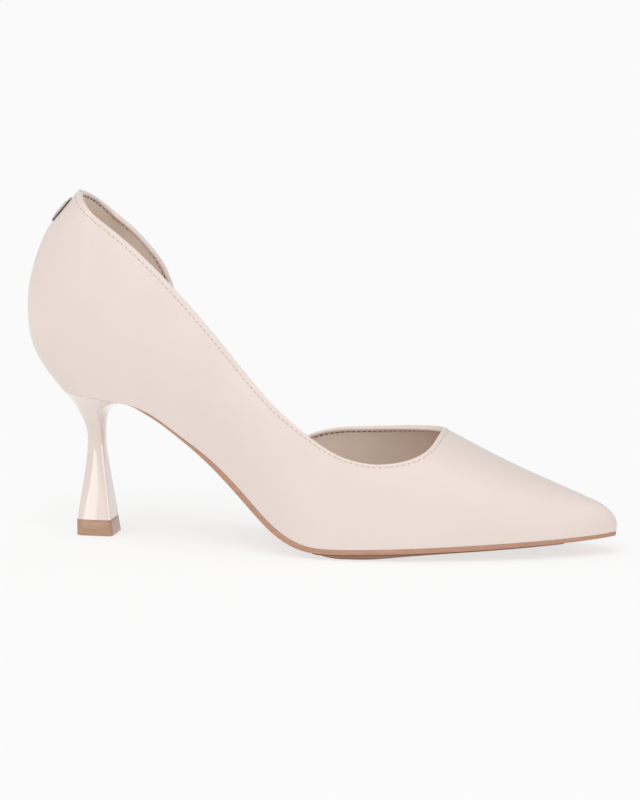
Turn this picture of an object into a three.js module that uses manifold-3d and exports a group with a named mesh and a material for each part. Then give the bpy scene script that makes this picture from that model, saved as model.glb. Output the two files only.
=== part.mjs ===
// A pointed half-d'Orsay court shoe (high heel pump) for the right foot, cut open on the inner side.
// Millimetres, +X to the toe, +Y to the inner (medial) side, +Z up, standing on its heel tip and tread.
// While the pieces are made, X = 0 is the middle of the heel tip; the exported group is centred at the end.
import * as THREE from "three";
import Module from "manifold-3d";

const wasm = await Module();
wasm.setup();

// ---------------------------------------------------------------- driving dimensions
const TOE_X = 211.5; // toe tip
const SEAT_BACK_X = -14.9; // back of the heel seat, at the feather edge
const SEAT_BACK_Z = 60; // and its height there
const SEAT_X = 2; // widest place of the heel seat, where the round back begins
const SEAT_HALF = 18.5; // half width of the heel seat at the feather edge
const FEATHER_END_Z = 8.6; // height of the feather edge at the toe
const BALL_OUTER_X = 104; // widest place of the outer (lateral) side
const BALL_INNER_X = 118; // widest place of the inner (medial) side
const BALL_OUTER = 37.5; // half width at the ball, outer side
const BALL_INNER = 35.5; // half width at the ball, inner side
const TOE_ROUND = 1.7; // how long the ball stays wide before it tapers
const TOE_TAPER = 0.7; // how blunt the toe is, seen from above
const THROAT_X = 141.6; // front of the foot opening
const THROAT_Z = 47; // and its height
const COUNTER_X = -7.9; // top of the back
const COUNTER_Z = 141.2; // and its height
const CUT_BACK_X = 31.2; // inner side: where the quarter meets the sole
const CUT_FRONT_X = 66; // inner side: where the vamp meets the sole

const GAP = 0.3; // clearance between pieces that lie on each other
const LEATHER = 0.9; // outer leather
const LINING = 0.7;
const STIFFENER = 0.8; // toe puff and heel counter at their full thickness
const MARGIN = 7; // lasting margin turned in under the insole
const MARGIN_LEAST = 0.3; // it never narrows the sole to less than this share
const MARGIN_SLANT = 1.35; // how much more it is drawn in lengthwise at the toe tip
const BOARD = 1.8; // insole and shank board
const FOAM = 1.5;
const SOCK = 0.8;
const SOLE = 1.7; // outsole sheet under the forepart
const WAIST_SOLE = 2.8; // and where the waist drops to the ball
const SEAT_SOLE = 0.9; // and where it starts at the heel
const TOE_SOLE = 1.2; // and at the toe
const SHANK_HALF = 5; // steel shank: half width and thickness
const SHANK = 1.5;
const SOLE_JOINT = 0.7; // clearance between the heel's breast and the outsole
const SOLE_SHORT = 0.6; // the outsole stops this far short of the toe tip
const TREAD_X = 95; // where the tread starts under the ball
const TREAD_FLAT_END_X = 114; // the tread is flat on the ground up to here
const TREAD_END_X = 192;
const TREAD_INSET = 0.8; // the tread stands back from the edge of the sole by this
const TREAD_BEVEL = 2.6; // and its edges slope in by this

const LIFT_HALF = 7.75; // heel tip, half of its square side on the ground
const LIFT_TOP_HALF = 7.35; // and where it meets the heel
const LIFT = 6.5; // heel tip height
const LIFT_CHAMFER = 0.4;
const LIFT_LEAN = 0.5; // the heel tip's foot stands this far ahead of the heel's axis
const NECK_Z = 38; // thinnest place of the heel
const NECK_HALF = 3.65;
const FLARE_Z = 40; // above this the heel spreads out to the seat
const BREAST_X = 16; // front edge of the heel seat
const HEEL_AXIS_X = -1.7;
const TUBE_R = 1.9; // steel tube in the heel
const TUBE_BORE_R = 1.4;
const TUBE_TOP_Z = 44;
const PIN_R = 1.05; // dowel of the heel tip
const PIN_SEAT_Z = 2.5; // it stands in the heel tip from here
const PIN_TOP_Z = 30;
const SCREW_R = 1.9;
const SCREW_HEAD_R = 3.4;
const SCREW_END_Z = 47;
const NAIL_R = 0.9;
const NAIL_HEAD_R = 1.9;
const NAIL_END_Z = 53.5;
const POINT = 1.2; // length of the screw and nail points
const HEAD = 0.9; // thickness of the screw and nail heads
const HEAD_SUNK = 0.2; // the heads lie this far below the top of the board
const RIVET_R = 1.6;
const RIVET_FROM_BACK = 27; // distance of the rivets from the two ends of the shank
const RIVET_FROM_FRONT = 8;

const BAR_LENGTH = 12.5; // trim bar on the back
const BAR_BELOW = 3.6; // its upper end is this far below the top of the back
const BAR_WIDTH = 5;
const BAR = 1.1;
const BAR_STUDS = 5;
const BAR_STUD_R = 1.15;
const BAR_PRONG_R = 0.7;
const BAR_PRONG = 1.3; // length of the prongs that pass through the leather
const THREAD_R = 0.25; // topline stitching
const THREAD_RISE = 0.65; // its centre stands this far off the leather
const STITCH_EDGE = 2.2; // distance of the stitching from the topline
const STITCH_COLUMN = 4;

const PUFF_X = 168; // the toe puff covers the toe from here
const COUNTER_OUTER_X = 26; // the heel counter reaches forward to here on the two sides
const COUNTER_INNER_X = 8;
const FADE = 14; // the lining closes up to the leather over this length beside a stiffener

const WALL_ROWS = 7; // mesh rows between the feather edge and the topline
const TOPLINE_STEP = 6; // mesh columns along the topline, mm
const NARROWEST = 0.8; // least spacing of the columns beside the throat, mm
const STATION_STEP = 4; // mesh stations along the sole, mm

// ---------------------------------------------------------------- small maths
const lerp = (a, b, t) => a + (b - a) * t;
const clamp01 = (t) => Math.min(1, Math.max(0, t));

function smoothstep(a, b, x) {
  const t = clamp01((x - a) / (b - a));
  return t * t * (3 - 2 * t);
}

// Natural cubic spline through [x, y] points; straight beyond the ends.
function spline(points) {
  const n = points.length;
  const bend = new Array(n).fill(0);
  const work = new Array(n).fill(0);
  for (let i = 1; i < n - 1; i++) {
    const [x0, y0] = points[i - 1];
    const [x1, y1] = points[i];
    const [x2, y2] = points[i + 1];
    const share = (x1 - x0) / (x2 - x0);
    const p = share * bend[i - 1] + 2;
    bend[i] = (share - 1) / p;
    const turn = (y2 - y1) / (x2 - x1) - (y1 - y0) / (x1 - x0);
    work[i] = ((6 * turn) / (x2 - x0) - share * work[i - 1]) / p;
  }
  for (let i = n - 2; i > 0; i--) bend[i] = bend[i] * bend[i + 1] + work[i];
  bend[0] = 0;
  return (x) => {
    let i = 1;
    while (i < n - 1 && x > points[i][0]) i++;
    const [x0, y0] = points[i - 1];
    const [x1, y1] = points[i];
    const h = x1 - x0;
    const xi = Math.min(x1, Math.max(x0, x));
    const a = (x1 - xi) / h;
    const b = (xi - x0) / h;
    const y = a * y0 + b * y1 + (((a ** 3 - a) * bend[i - 1] + (b ** 3 - b) * bend[i]) * h * h) / 6;
    const slope =
      (y1 - y0) / h + (((1 - 3 * a * a) * bend[i - 1] + (3 * b * b - 1) * bend[i]) * h) / 6;
    return y + slope * (x - xi);
  };
}

// ---------------------------------------------------------------- the shape of the shoe
const OUTER = -1; // sides, by the sign of Y
const INNER = 1;
const FAN_R = 28; // the round back is laid out along the length as an arc of this radius
const BACK_XI = SEAT_X - (FAN_R * Math.PI) / 2; // the centre back, in that layout

const feather = spline([
  [SEAT_BACK_X, SEAT_BACK_Z],
  [0, 58.8],
  [9, 57.5],
  [18, 55.8],
  [25, 52.8],
  [36, 45.4],
  [50, 35.8],
  [65, 23.4],
  [77, 12.8],
  [84, 8.2],
  [91, 5.4],
  [104, 4.3],
  [150, 5.9],
  [TOE_X, FEATHER_END_Z],
]);
const crown = spline([
  [SEAT_X, 153],
  [26, 131],
  [56, 103],
  [86, 79.5],
  [104, 68],
  [121, 57.9],
  [THROAT_X, THROAT_Z],
  [166, 34.9],
  [189, 25.6],
  [TOE_X, 17.2],
]);
const bulge = spline([
  [SEAT_X, 10],
  [26, 10],
  [56, 8.5],
  [86, 5],
  [104, 2.5],
  [135, 1.2],
  [TOE_X, 0.4],
]);
const waistOuter = spline([
  [SEAT_X, SEAT_HALF],
  [22, 18.2],
  [42, 18.6],
  [62, 24.5],
  [82, 33.2],
  [BALL_OUTER_X, BALL_OUTER],
  [BALL_OUTER_X + 20, BALL_OUTER - 0.3],
]);
const waistInner = spline([
  [SEAT_X, SEAT_HALF],
  [22, 17.2],
  [48, 15.6],
  [72, 21.5],
  [96, 31.2],
  [BALL_INNER_X, BALL_INNER],
  [BALL_INNER_X + 20, BALL_INNER - 0.3],
]);
// Reach of the back behind SEAT_X, by height above the seat.
const backReach = spline([
  [0, SEAT_X - SEAT_BACK_X],
  [5, 21.4],
  [10, 25.2],
  [17, 29.1],
  [24, 30.9],
  [32, 31.5],
  [40, 31.2],
  [50, 29.2],
  [59, 26.2],
  [66.4, 22.3],
  [72.6, 17.1],
  [COUNTER_Z - SEAT_BACK_Z, SEAT_X - COUNTER_X],
]);
const BACK_CROWN = 102; // crown height above the seat at the centre back
const BACK_LEAN = 1.5; // how much the sides lean in towards the top at the back; 1 is an ellipse
const PINCH_LOW = 25; // between these heights above the seat the round back narrows to a blunt point
const PINCH_HIGH = 78;
const POINT_ROUND = 0.12; // how blunt that point is

const SQUARE_START_X = 60;
const SQUARE_END_X = 190;
const SQUARE_SIDES = 0.28; // how much squarer the sections are at the sides and at the top there
const SQUARE_TOP = 0.08;
const TIP = 4; // the sides' bulge dies out over this length at the toe tip
const NOSE = 9; // the toe's nose rounds down over this length
const NOSE_DROP = 4.8;

// Half width of the feather outline, drawn in by inset all round.
function halfWidth(x, side, inset = 0) {
  const ballX = side === OUTER ? BALL_OUTER_X : BALL_INNER_X;
  const ball = side === OUTER ? BALL_OUTER : BALL_INNER;
  const waist = side === OUTER ? waistOuter : waistInner;
  if (x < SEAT_X) {
    const reach = SEAT_X - SEAT_BACK_X - inset;
    return (SEAT_HALF - inset) * Math.sqrt(Math.max(0, 1 - ((SEAT_X - x) / reach) ** 2));
  }
  if (x < ballX) return waist(x) - inset;
  const t = clamp01((x - ballX) / (TOE_X - 1.6 * inset - ballX));
  return (ball - inset) * (1 - t ** TOE_ROUND) ** TOE_TAPER;
}

// Height of the crown line above the feather edge.
function crownHeight(x) {
  const nose = clamp01((x - (TOE_X - NOSE)) / NOSE);
  return crown(x) - NOSE_DROP * (1 - Math.sqrt(Math.max(0, 1 - nose * nose))) - feather(x);
}

// A point of the outer surface. xi runs along the shoe and, behind the seat, round its back;
// turn goes from 0 at the feather edge to a quarter turn at the crown.
function skin(xi, turn, side) {
  const up = Math.max(0, Math.sin(turn));
  const over = Math.max(0, Math.cos(turn));
  if (xi < SEAT_X) {
    const phi = (SEAT_X - xi) / FAN_R;
    const s = Math.sin(phi);
    const seatX = SEAT_X - (SEAT_X - SEAT_BACK_X) * s;
    const height = lerp(crownHeight(SEAT_X), BACK_CROWN, s * s) * up;
    const half = (SEAT_HALF + bulge(SEAT_X) * 2 * up) * over ** BACK_LEAN;
    const c = Math.cos(phi);
    const point = Math.sqrt((c * c + POINT_ROUND) / (1 + POINT_ROUND));
    return new THREE.Vector3(
      SEAT_X - backReach(height) * s,
      side * half * c * lerp(1, point, smoothstep(PINCH_LOW, PINCH_HIGH, height)),
      feather(seatX) + height,
    );
  }
  // The sections turn from leaning in at the back to oval, and to squarer towards the toe.
  const square = smoothstep(SQUARE_START_X, SQUARE_END_X, xi);
  const lean = lerp(BACK_LEAN, 1, smoothstep(SEAT_X, SQUARE_START_X, xi));
  const straight = halfWidth(xi, side) * over ** (lean - SQUARE_SIDES * square);
  const half = straight + bulge(xi) * 2 * up * over ** lean;
  const height = crownHeight(xi) * up ** (1 - SQUARE_TOP * square);
  const closing = clamp01((TOE_X - xi) / TIP);
  return new THREE.Vector3(
    xi,
    side * (xi >= TOE_X ? 0 : lerp(halfWidth(xi, side) * over, half, closing)),
    feather(xi) + height,
  );
}

// Outward normal of that surface.
function skinNormal(xi, turn, side) {
  if (xi > TOE_X - 0.01) return new THREE.Vector3(1, 0, 0);
  const d = 0.02;
  const t = Math.min(turn, Math.PI / 2 - d);
  const along = skin(xi + d, t, side).sub(skin(xi - d, t, side));
  const rise = skin(xi, t + d, side).sub(skin(xi, t - d, side));
  const n = along.cross(rise).normalize();
  if (side === INNER) n.negate();
  if (turn > Math.PI / 2 - 1e-6) n.setY(0).normalize();
  return n;
}

// ---------------------------------------------------------------- the topline
const DIP_X = 119; // lowest place of the outer topline
const toplineOuter = spline([
  [COUNTER_X, COUNTER_Z],
  [1, 133.8],
  [17.6, 121],
  [34.6, 105.4],
  [56, 83.2],
  [75.6, 62.4],
  [92.4, 48.9],
  [106, 41],
  [DIP_X, 38],
  [DIP_X + 13, 37.4],
]);
const toplineQuarter = spline([
  [COUNTER_X, COUNTER_Z],
  [1, 132],
  [10, 124.6],
  [18, 115.8],
  [24, 105.6],
  [28, 90.5],
  [30.2, 70],
  [CUT_BACK_X, 51.5],
]);
const toplineVamp = spline([
  [CUT_FRONT_X, 23.5],
  [67.2, 28],
  [70.5, 32.6],
  [77, 36.8],
  [87, 40.9],
  [104, 42.9],
  [123, 44.6],
  [135, 46],
  [THROAT_X, THROAT_Z],
]);

// Height of the topline over x on one side, for the quarter or the vamp part of the inner side.
function topline(x, side) {
  if (side === INNER) return x < (CUT_BACK_X + CUT_FRONT_X) / 2 ? toplineQuarter(x) : toplineVamp(x);
  if (x < DIP_X) return toplineOuter(x);
  const t = clamp01((x - DIP_X) / (THROAT_X - DIP_X));
  return lerp(toplineOuter(DIP_X), THROAT_Z, 1 - (1 - t ** 2.4) ** 0.55);
}

// How far up a column of the surface reaches: to the topline, or to the crown ahead of the throat.
function topTurn(xi, side) {
  if (xi >= THROAT_X - 1e-6) return Math.PI / 2;
  let low = 0.02;
  let high = Math.PI / 2;
  for (let i = 0; i < 40; i++) {
    const mid = (low + high) / 2;
    const p = skin(xi, mid, side);
    if (p.z < topline(p.x, side)) low = mid;
    else high = mid;
  }
  return low;
}

// Places along one side, spaced evenly along its topline.
function columns(from, to, side, step = TOPLINE_STEP) {
  const fine = 800;
  const at = [];
  let length = 0;
  let last = null;
  for (let i = 0; i <= fine; i++) {
    const xi = lerp(from, to, 1 - (1 - i / fine) ** 3); // finer towards the end, where it may turn across
    const p = skin(xi, topTurn(xi, side), side);
    if (last) length += p.distanceTo(last);
    at.push([xi, length]);
    last = p;
  }
  const count = Math.max(1, Math.round(length / step));
  const places = [from];
  let k = 0;
  for (let c = 1; c < count; c++) {
    while (at[k][1] < (length * c) / count) k++;
    places.push(at[k][0]);
  }
  return places.filter((xi) => xi < to - NARROWEST).concat(to);
}

// Places from the throat to the toe tip, closer together where the nose rounds.
function vampPlaces(from = THROAT_X, to = TOE_X) {
  const count = Math.round((to - from) / STATION_STEP);
  const places = [];
  for (let i = 0; i <= count; i++) {
    const t = i / count;
    places.push(lerp(from, to, Math.sin((t * Math.PI) / 2) * 0.55 + t * 0.45));
  }
  places[count] = to;
  return places;
}

// ---------------------------------------------------------------- layers of the upper
// How much of the stiffener lies between leather and lining: 1 under the toe puff and counter, 0 elsewhere.
function padding(xi, row, side) {
  const v = row / WALL_ROWS;
  const low = smoothstep(0, 0.2, v);
  const toe = smoothstep(PUFF_X - FADE, PUFF_X, xi);
  const end = side === OUTER ? COUNTER_OUTER_X : COUNTER_INNER_X;
  const heel = (1 - smoothstep(end, end + FADE, xi)) * (1 - smoothstep(0.75, 1, v));
  return low * Math.max(toe, heel);
}

// A point of a layer. depth is how far the face lies inside the outer surface; row 0 is the feather
// edge and row -1 the inner end of the lasting margin, which lies flat under the insole.
function layerPoint(xi, row, side, depth) {
  if (row > 0) {
    const turn = (topTurn(xi, side) * row) / WALL_ROWS;
    return skin(xi, turn, side).addScaledVector(skinNormal(xi, turn, side), -depth);
  }
  const p = skin(xi, 0, side);
  const draw = row < 0 ? MARGIN : depth;
  if (xi < SEAT_X) {
    p.x = SEAT_X - (SEAT_X - p.x) * (1 - draw / (SEAT_X - SEAT_BACK_X));
    p.y *= 1 - draw / SEAT_HALF;
  } else {
    const half = Math.abs(p.y);
    const narrow = half / BALL_OUTER;
    p.y *= half > 0.01 ? Math.max(1 - draw / half, MARGIN_LEAST) : 0;
    p.x -= MARGIN_SLANT * draw * (1 - clamp01(narrow)) ** 2 * smoothstep(BALL_INNER_X, TOE_X, xi);
  }
  p.z = feather(p.x) + depth;
  return p;
}

// A closed sheet between two depths. grids are lists of { side, places, rows }, joined where they touch.
function layer(grids, outerDepth, innerDepth) {
  const index = new Map();
  const outer = [];
  const inner = [];
  const faces = [];
  const vertex = (xi, row, side) => {
    const a = layerPoint(xi, row, side, outerDepth(xi, row, side));
    const key = a.toArray().map((c) => Math.round(c * 500)).join();
    if (!index.has(key)) {
      index.set(key, outer.length);
      outer.push(a);
      inner.push(layerPoint(xi, row, side, innerDepth(xi, row, side)));
    }
    return index.get(key);
  };
  const triangle = (a, b, c) => {
    if (a !== b && b !== c && c !== a) faces.push([a, b, c]);
  };
  for (const { side, places, rows } of grids) {
    const grid = places.map((xi) => rows.map((row) => vertex(xi, row, side)));
    for (let i = 0; i + 1 < grid.length; i++) {
      for (let j = 0; j + 1 < rows.length; j++) {
        const quad = [grid[i][j], grid[i + 1][j], grid[i + 1][j + 1], grid[i][j + 1]];
        // Every layer splits a cell the same way, along its shorter diagonal on the outer surface.
        const corner = (di, dj) => layerPoint(places[i + di], rows[j + dj], side, 0);
        const shorter = corner(1, 0).distanceTo(corner(0, 1)) < corner(0, 0).distanceTo(corner(1, 1));
        if (shorter) quad.push(quad.shift());
        if (side === INNER) quad.reverse().push(quad.shift());
        triangle(quad[0], quad[1], quad[2]);
        triangle(quad[0], quad[2], quad[3]);
      }
    }
  }
  const n = outer.length;
  const single = new Map();
  for (const f of faces) {
    for (let e = 0; e < 3; e++) {
      const [a, b] = [f[e], f[(e + 1) % 3]];
      if (!single.delete(b + "," + a)) single.set(a + "," + b, [a, b]);
    }
  }
  const all = faces.concat(faces.map(([a, b, c]) => [c + n, b + n, a + n]));
  for (const [a, b] of single.values()) all.push([b, a, a + n], [b, a + n, b + n]);
  const geometry = new THREE.BufferGeometry().setFromPoints(outer.concat(inner));
  geometry.setIndex(all.flat());
  return geometry;
}

const range = (a, b) => Array.from({ length: b - a + 1 }, (_, i) => a + i);
const SEAM = 0.25; // half of the gap at the back seam
const wallRows = range(-1, WALL_ROWS);
const outerSide = columns(BACK_XI + SEAM, THROAT_X, OUTER);
const vampFront = vampPlaces();
const vampInner = columns(CUT_FRONT_X, THROAT_X, INNER);
const quarterInner = columns(BACK_XI + SEAM, CUT_BACK_X, INNER);
const LINING_SEAM_XI = 62; // where the quarter lining meets the vamp lining on the outer side
const LINING_TOE_X = TOE_X - 8; // the lining and the toe puff stop just short of the tip

const leatherOuter = () => 0;
const leatherInner = () => LEATHER;
const stiffOuter = () => LEATHER + GAP;
const liningOuter = (xi, row, side) => LEATHER + GAP + (STIFFENER + GAP) * padding(xi, row, side);
const stiffInner = (xi, row, side) => liningOuter(xi, row, side) - GAP;
const liningInner = (xi, row, side) => liningOuter(xi, row, side) + LINING;

const upTo = (places, end) => places.filter((x) => x < end - 1).concat(end);
const from = (places, start) => [start].concat(places.filter((x) => x > start + 1));

function upperOuter() {
  return layer(
    [
      { side: OUTER, places: outerSide, rows: wallRows },
      { side: OUTER, places: vampFront, rows: wallRows },
      { side: INNER, places: vampFront, rows: wallRows },
      { side: INNER, places: vampInner, rows: wallRows },
    ],
    leatherOuter,
    leatherInner,
  );
}

function medialQuarter() {
  return layer([{ side: INNER, places: quarterInner, rows: wallRows }], leatherOuter, leatherInner);
}

function vampLining() {
  const front = upTo(vampFront, LINING_TOE_X);
  return layer(
    [
      { side: OUTER, places: from(outerSide, LINING_SEAM_XI + GAP), rows: wallRows },
      { side: OUTER, places: front, rows: wallRows },
      { side: INNER, places: front, rows: wallRows },
      { side: INNER, places: vampInner, rows: wallRows },
    ],
    liningOuter,
    liningInner,
  );
}

function quarterLining() {
  return layer(
    [
      { side: OUTER, places: [BACK_XI].concat(upTo(outerSide.slice(1), LINING_SEAM_XI)), rows: wallRows },
      { side: INNER, places: [BACK_XI].concat(quarterInner.slice(1)), rows: wallRows },
    ],
    liningOuter,
    liningInner,
  );
}

function heelCounter() {
  const rows = range(1, WALL_ROWS - 1);
  return layer(
    [
      { side: OUTER, places: [BACK_XI].concat(upTo(outerSide.slice(1), COUNTER_OUTER_X)), rows },
      { side: INNER, places: [BACK_XI].concat(upTo(quarterInner.slice(1), COUNTER_INNER_X)), rows },
    ],
    stiffOuter,
    stiffInner,
  );
}

function toePuff() {
  const places = from(upTo(vampFront, LINING_TOE_X), PUFF_X);
  const rows = range(1, WALL_ROWS);
  return layer([OUTER, INNER].map((side) => ({ side, places, rows })), stiffOuter, stiffInner);
}

// ---------------------------------------------------------------- sheets along the sole
function stations(from, to) {
  const count = Math.round((to - from) / STATION_STEP);
  return Array.from({ length: count + 1 }, (_, i) => {
    const t = i / count;
    return lerp(from, to, t - (Math.sin(2 * Math.PI * t) / (2 * Math.PI)) * 0.75);
  });
}

// A closed strip between two heights, as wide as left(x) and right(x) say, with its lower edges drawn in.
function strip(places, left, right, top, bottom, bevel = 0) {
  const points = [];
  const faces = [];
  for (const x of places) {
    points.push(
      new THREE.Vector3(x, left(x) + bevel, bottom(x)),
      new THREE.Vector3(x, right(x) - bevel, bottom(x)),
      new THREE.Vector3(x, right(x), top(x)),
      new THREE.Vector3(x, left(x), top(x)),
    );
  }
  for (let i = 0; i + 1 < places.length; i++) {
    for (let k = 0; k < 4; k++) {
      const [a, b] = [4 * i + k, 4 * i + ((k + 1) % 4)];
      faces.push([a, b, b + 4], [a, b + 4, a + 4]);
    }
  }
  const last = 4 * (places.length - 1);
  faces.push([0, 2, 1], [0, 3, 2], [last, last + 1, last + 2], [last, last + 2, last + 3]);
  const geometry = new THREE.BufferGeometry().setFromPoints(points);
  geometry.setIndex(faces.flat());
  return geometry;
}

// The same, following the feather outline at an inset.
function insetStrip(fromX, toX, inset, top, bottom) {
  return strip(
    stations(fromX, toX),
    (x) => -Math.max(0.6, halfWidth(x, OUTER, inset)),
    (x) => Math.max(0.6, halfWidth(x, INNER, inset)),
    top,
    bottom,
  );
}

const WALL = LEATHER + GAP + LINING + GAP; // leather and lining, with their clearances
const boardBottom = (x) => feather(x) + WALL;
const boardTop = (x) => boardBottom(x) + BOARD;
const foamBottom = (x) => boardTop(x) + GAP;
const foamTop = (x) => foamBottom(x) + FOAM;
const sockBottom = (x) => foamTop(x) + GAP;
const sockTop = (x) => sockBottom(x) + SOCK;
const soleTop = (x) => feather(x) - GAP;
const soleThickness = spline([
  [BREAST_X, SEAT_SOLE],
  [40, SEAT_SOLE + 0.3],
  [56, WAIST_SOLE],
  [74, WAIST_SOLE + 0.2],
  [TREAD_X, SOLE + 0.2],
  [TREAD_X + 15, SOLE],
  [150, SOLE],
  [TOE_X, TOE_SOLE],
]);
const soleBottom = (x) => soleTop(x) - soleThickness(x);
const treadTop = (x) => soleBottom(x) - GAP;
const treadRise = spline([
  [TREAD_FLAT_END_X, 0],
  [125, 0.9],
  [136, 1.8],
  [153, 2.9],
  [174, 4.2],
  [TREAD_END_X, 5.3],
]);
const treadBottom = (x) => (x <= TREAD_FLAT_END_X ? 0 : treadRise(x));

const INSOLE_INSET = WALL + STIFFENER + GAP + 0.2;
const SOCK_INSET = INSOLE_INSET + 0.8; // the walls lean in over the edge of the sock
const SOCK_BACK_X = SEAT_BACK_X + SOCK_INSET + 0.05;
const SOCK_FRONT_X = TOE_X - 18;
const INSOLE_FRONT_X = TOE_X - 13;
const FILLER_FRONT_X = TOE_X - 30;
const BOARD_JOINT_X = 84; // the shank board meets the forepart insole here
const FILLER_X = 92;
const MARGIN_CLEAR = MARGIN + 1;
const SHANK_BACK_X = -5.6;
const SHANK_FRONT_X = 80;
const shankTop = (x) => boardBottom(x) - GAP;
const shankBottom = (x) => shankTop(x) - SHANK;

function forepartTread() {
  const flat = stations(TREAD_X, TREAD_FLAT_END_X);
  const rising = stations(TREAD_FLAT_END_X, TREAD_END_X).slice(1);
  return strip(
    flat.concat(rising),
    (x) => -halfWidth(x, OUTER, TREAD_INSET),
    (x) => halfWidth(x, INNER, TREAD_INSET),
    treadTop,
    treadBottom,
    TREAD_BEVEL,
  );
}

// ---------------------------------------------------------------- solids and holes
function solid(geometry) {
  const flat = geometry.index ? geometry.toNonIndexed() : geometry;
  const position = flat.getAttribute("position");
  const points = [];
  const index = new Map();
  const triVerts = [];
  for (let i = 0; i < position.count; i++) {
    const p = [position.getX(i), position.getY(i), position.getZ(i)];
    const key = p.map((c) => Math.round(c * 1000)).join();
    if (!index.has(key)) {
      index.set(key, points.length / 3);
      points.push(...p);
    }
    triVerts.push(index.get(key));
  }
  return new wasm.Manifold(
    new wasm.Mesh({
      numProp: 3,
      vertProperties: new Float32Array(points),
      triVerts: new Uint32Array(triVerts),
    }),
  );
}

function geometryOf(made) {
  const mesh = made.getMesh();
  const geometry = new THREE.BufferGeometry();
  geometry.setAttribute("position", new THREE.BufferAttribute(mesh.vertProperties, 3));
  geometry.setIndex(new THREE.BufferAttribute(mesh.triVerts, 1));
  return geometry;
}

function cut(geometry, ...tools) {
  return geometryOf(tools.reduce((body, tool) => body.subtract(solid(tool)), solid(geometry)));
}

function join(geometry, ...others) {
  return geometryOf(others.reduce((body, other) => body.add(solid(other)), solid(geometry)));
}

// An upright cylinder from z0 to z1.
function post(x, y, z0, z1, r, sides = 20) {
  return new THREE.CylinderGeometry(r, r, z1 - z0, sides)
    .rotateX(Math.PI / 2)
    .translate(x, y, (z0 + z1) / 2);
}

// An upright turned piece from a [radius, z] profile that starts and ends on the axis.
function turned(x, y, profile, sides = 20) {
  const points = profile.map(([r, z]) => new THREE.Vector2(r, z));
  return new THREE.LatheGeometry(points, sides).rotateX(Math.PI / 2).translate(x, y, 0);
}

// ---------------------------------------------------------------- heel
const heelHalf = spline([
  [LIFT, LIFT_TOP_HALF - 0.1],
  [15, 6.15],
  [23, 5.1],
  [31, 4.2],
  [NECK_Z, NECK_HALF],
  [FLARE_Z, NECK_HALF],
]);
// How square the heel's corners are: a power of 2 is round, 20 is sharp.
const frontCorner = spline([
  [LIFT, 20],
  [23, 12],
  [31, 7],
  [NECK_Z, 4],
]);
const backCorner = spline([
  [LIFT, 7],
  [15, 5],
  [23, 3.4],
  [NECK_Z, 2.2],
]);
const SEAT_CLEAR = 0.3; // the heel's rim stands this far inside the feather outline
const HEEL_SIDES = 32;
const SEAT_RINGS = 10;
const SPREAD_BACK = 1.7; // above the neck the heel spreads with these powers of the height
const SPREAD_FRONT = 4.2;
const SPREAD_SIDE = 2;
const BREAST_ROUND = 2.2; // how square the breast is half way up to the seat, and at the seat
const BREAST_SQUARE = 6;

// A closed ring of points: a rounded square or oval with its own reach to the back, front and side.
function ring(middle, back, front, half, corner, z) {
  return range(0, HEEL_SIDES - 1).map((i) => {
    const a = (2 * Math.PI * (i + 0.5)) / HEEL_SIDES;
    const [c, s] = [Math.cos(a), Math.sin(a)];
    const x = middle + (c > 0 ? front : back) * Math.sign(c) * Math.abs(c) ** (2 / corner(c));
    const y = half * Math.sign(s) * Math.abs(s) ** (2 / corner(c));
    return new THREE.Vector3(x, y, z(x));
  });
}

function loft(rings) {
  const n = rings[0].length;
  const faces = [];
  for (let r = 0; r + 1 < rings.length; r++) {
    for (let i = 0; i < n; i++) {
      const [a, b] = [r * n + i, r * n + ((i + 1) % n)];
      faces.push([a, b, b + n], [a, b + n, a + n]);
    }
  }
  const points = rings.flat();
  const centre = (list) => list.reduce((s, p) => s.add(p), new THREE.Vector3()).divideScalar(n);
  const [first, last] = [rings[0], rings[rings.length - 1]];
  points.push(centre(first), centre(last));
  const low = points.length - 2;
  const top = (rings.length - 1) * n;
  for (let i = 0; i < n; i++) {
    const j = (i + 1) % n;
    faces.push([low, j, i], [low + 1, top + i, top + j]);
  }
  const geometry = new THREE.BufferGeometry().setFromPoints(points);
  geometry.setIndex(faces.flat());
  return geometry;
}

const level = (z) => () => z;

function heelRings() {
  const rings = [];
  const baseZ = LIFT + GAP;
  for (const z of [baseZ, 12, 17.5, 23, 28, 33, NECK_Z]) {
    const half = heelHalf(z);
    const corner = (c) => (c > 0 ? frontCorner(z) : backCorner(z));
    rings.push(ring(HEEL_AXIS_X, half, half, half, corner, level(z)));
  }
  const seatZ = (x) => feather(x) - GAP;
  for (let i = 0; i <= SEAT_RINGS; i++) {
    const s = i / SEAT_RINGS;
    const middle = lerp(HEEL_AXIS_X, SEAT_X, s);
    const backX = lerp(HEEL_AXIS_X - NECK_HALF, SEAT_BACK_X + SEAT_CLEAR, s ** SPREAD_BACK);
    const frontX = lerp(HEEL_AXIS_X + NECK_HALF, BREAST_X, s ** SPREAD_FRONT);
    const half = lerp(NECK_HALF, SEAT_HALF - SEAT_CLEAR, s ** SPREAD_SIDE);
    const front =
      s < 0.5
        ? lerp(frontCorner(NECK_Z), BREAST_ROUND, s * 2)
        : lerp(BREAST_ROUND, BREAST_SQUARE, (s * 2 - 1) ** 2);
    const corner = (c) => (c > 0 ? front : lerp(backCorner(NECK_Z), 2, s));
    const z = (x) => lerp(FLARE_Z, seatZ(x), s);
    rings.push(ring(middle, middle - backX, frontX - middle, half, corner, z));
  }
  return rings;
}

const nailPlaces = [
  [-4.2, -6.3],
  [-4.2, 6.3],
  [4.2, -6.9],
  [4.2, 6.9],
];
const headZ = (x) => boardTop(x) - HEAD - HEAD_SUNK; // underside of a head sunk in the board
const headPocket = (x, y, r) => post(x, y, headZ(x) - GAP, boardTop(x) + 2, r + GAP);

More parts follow.
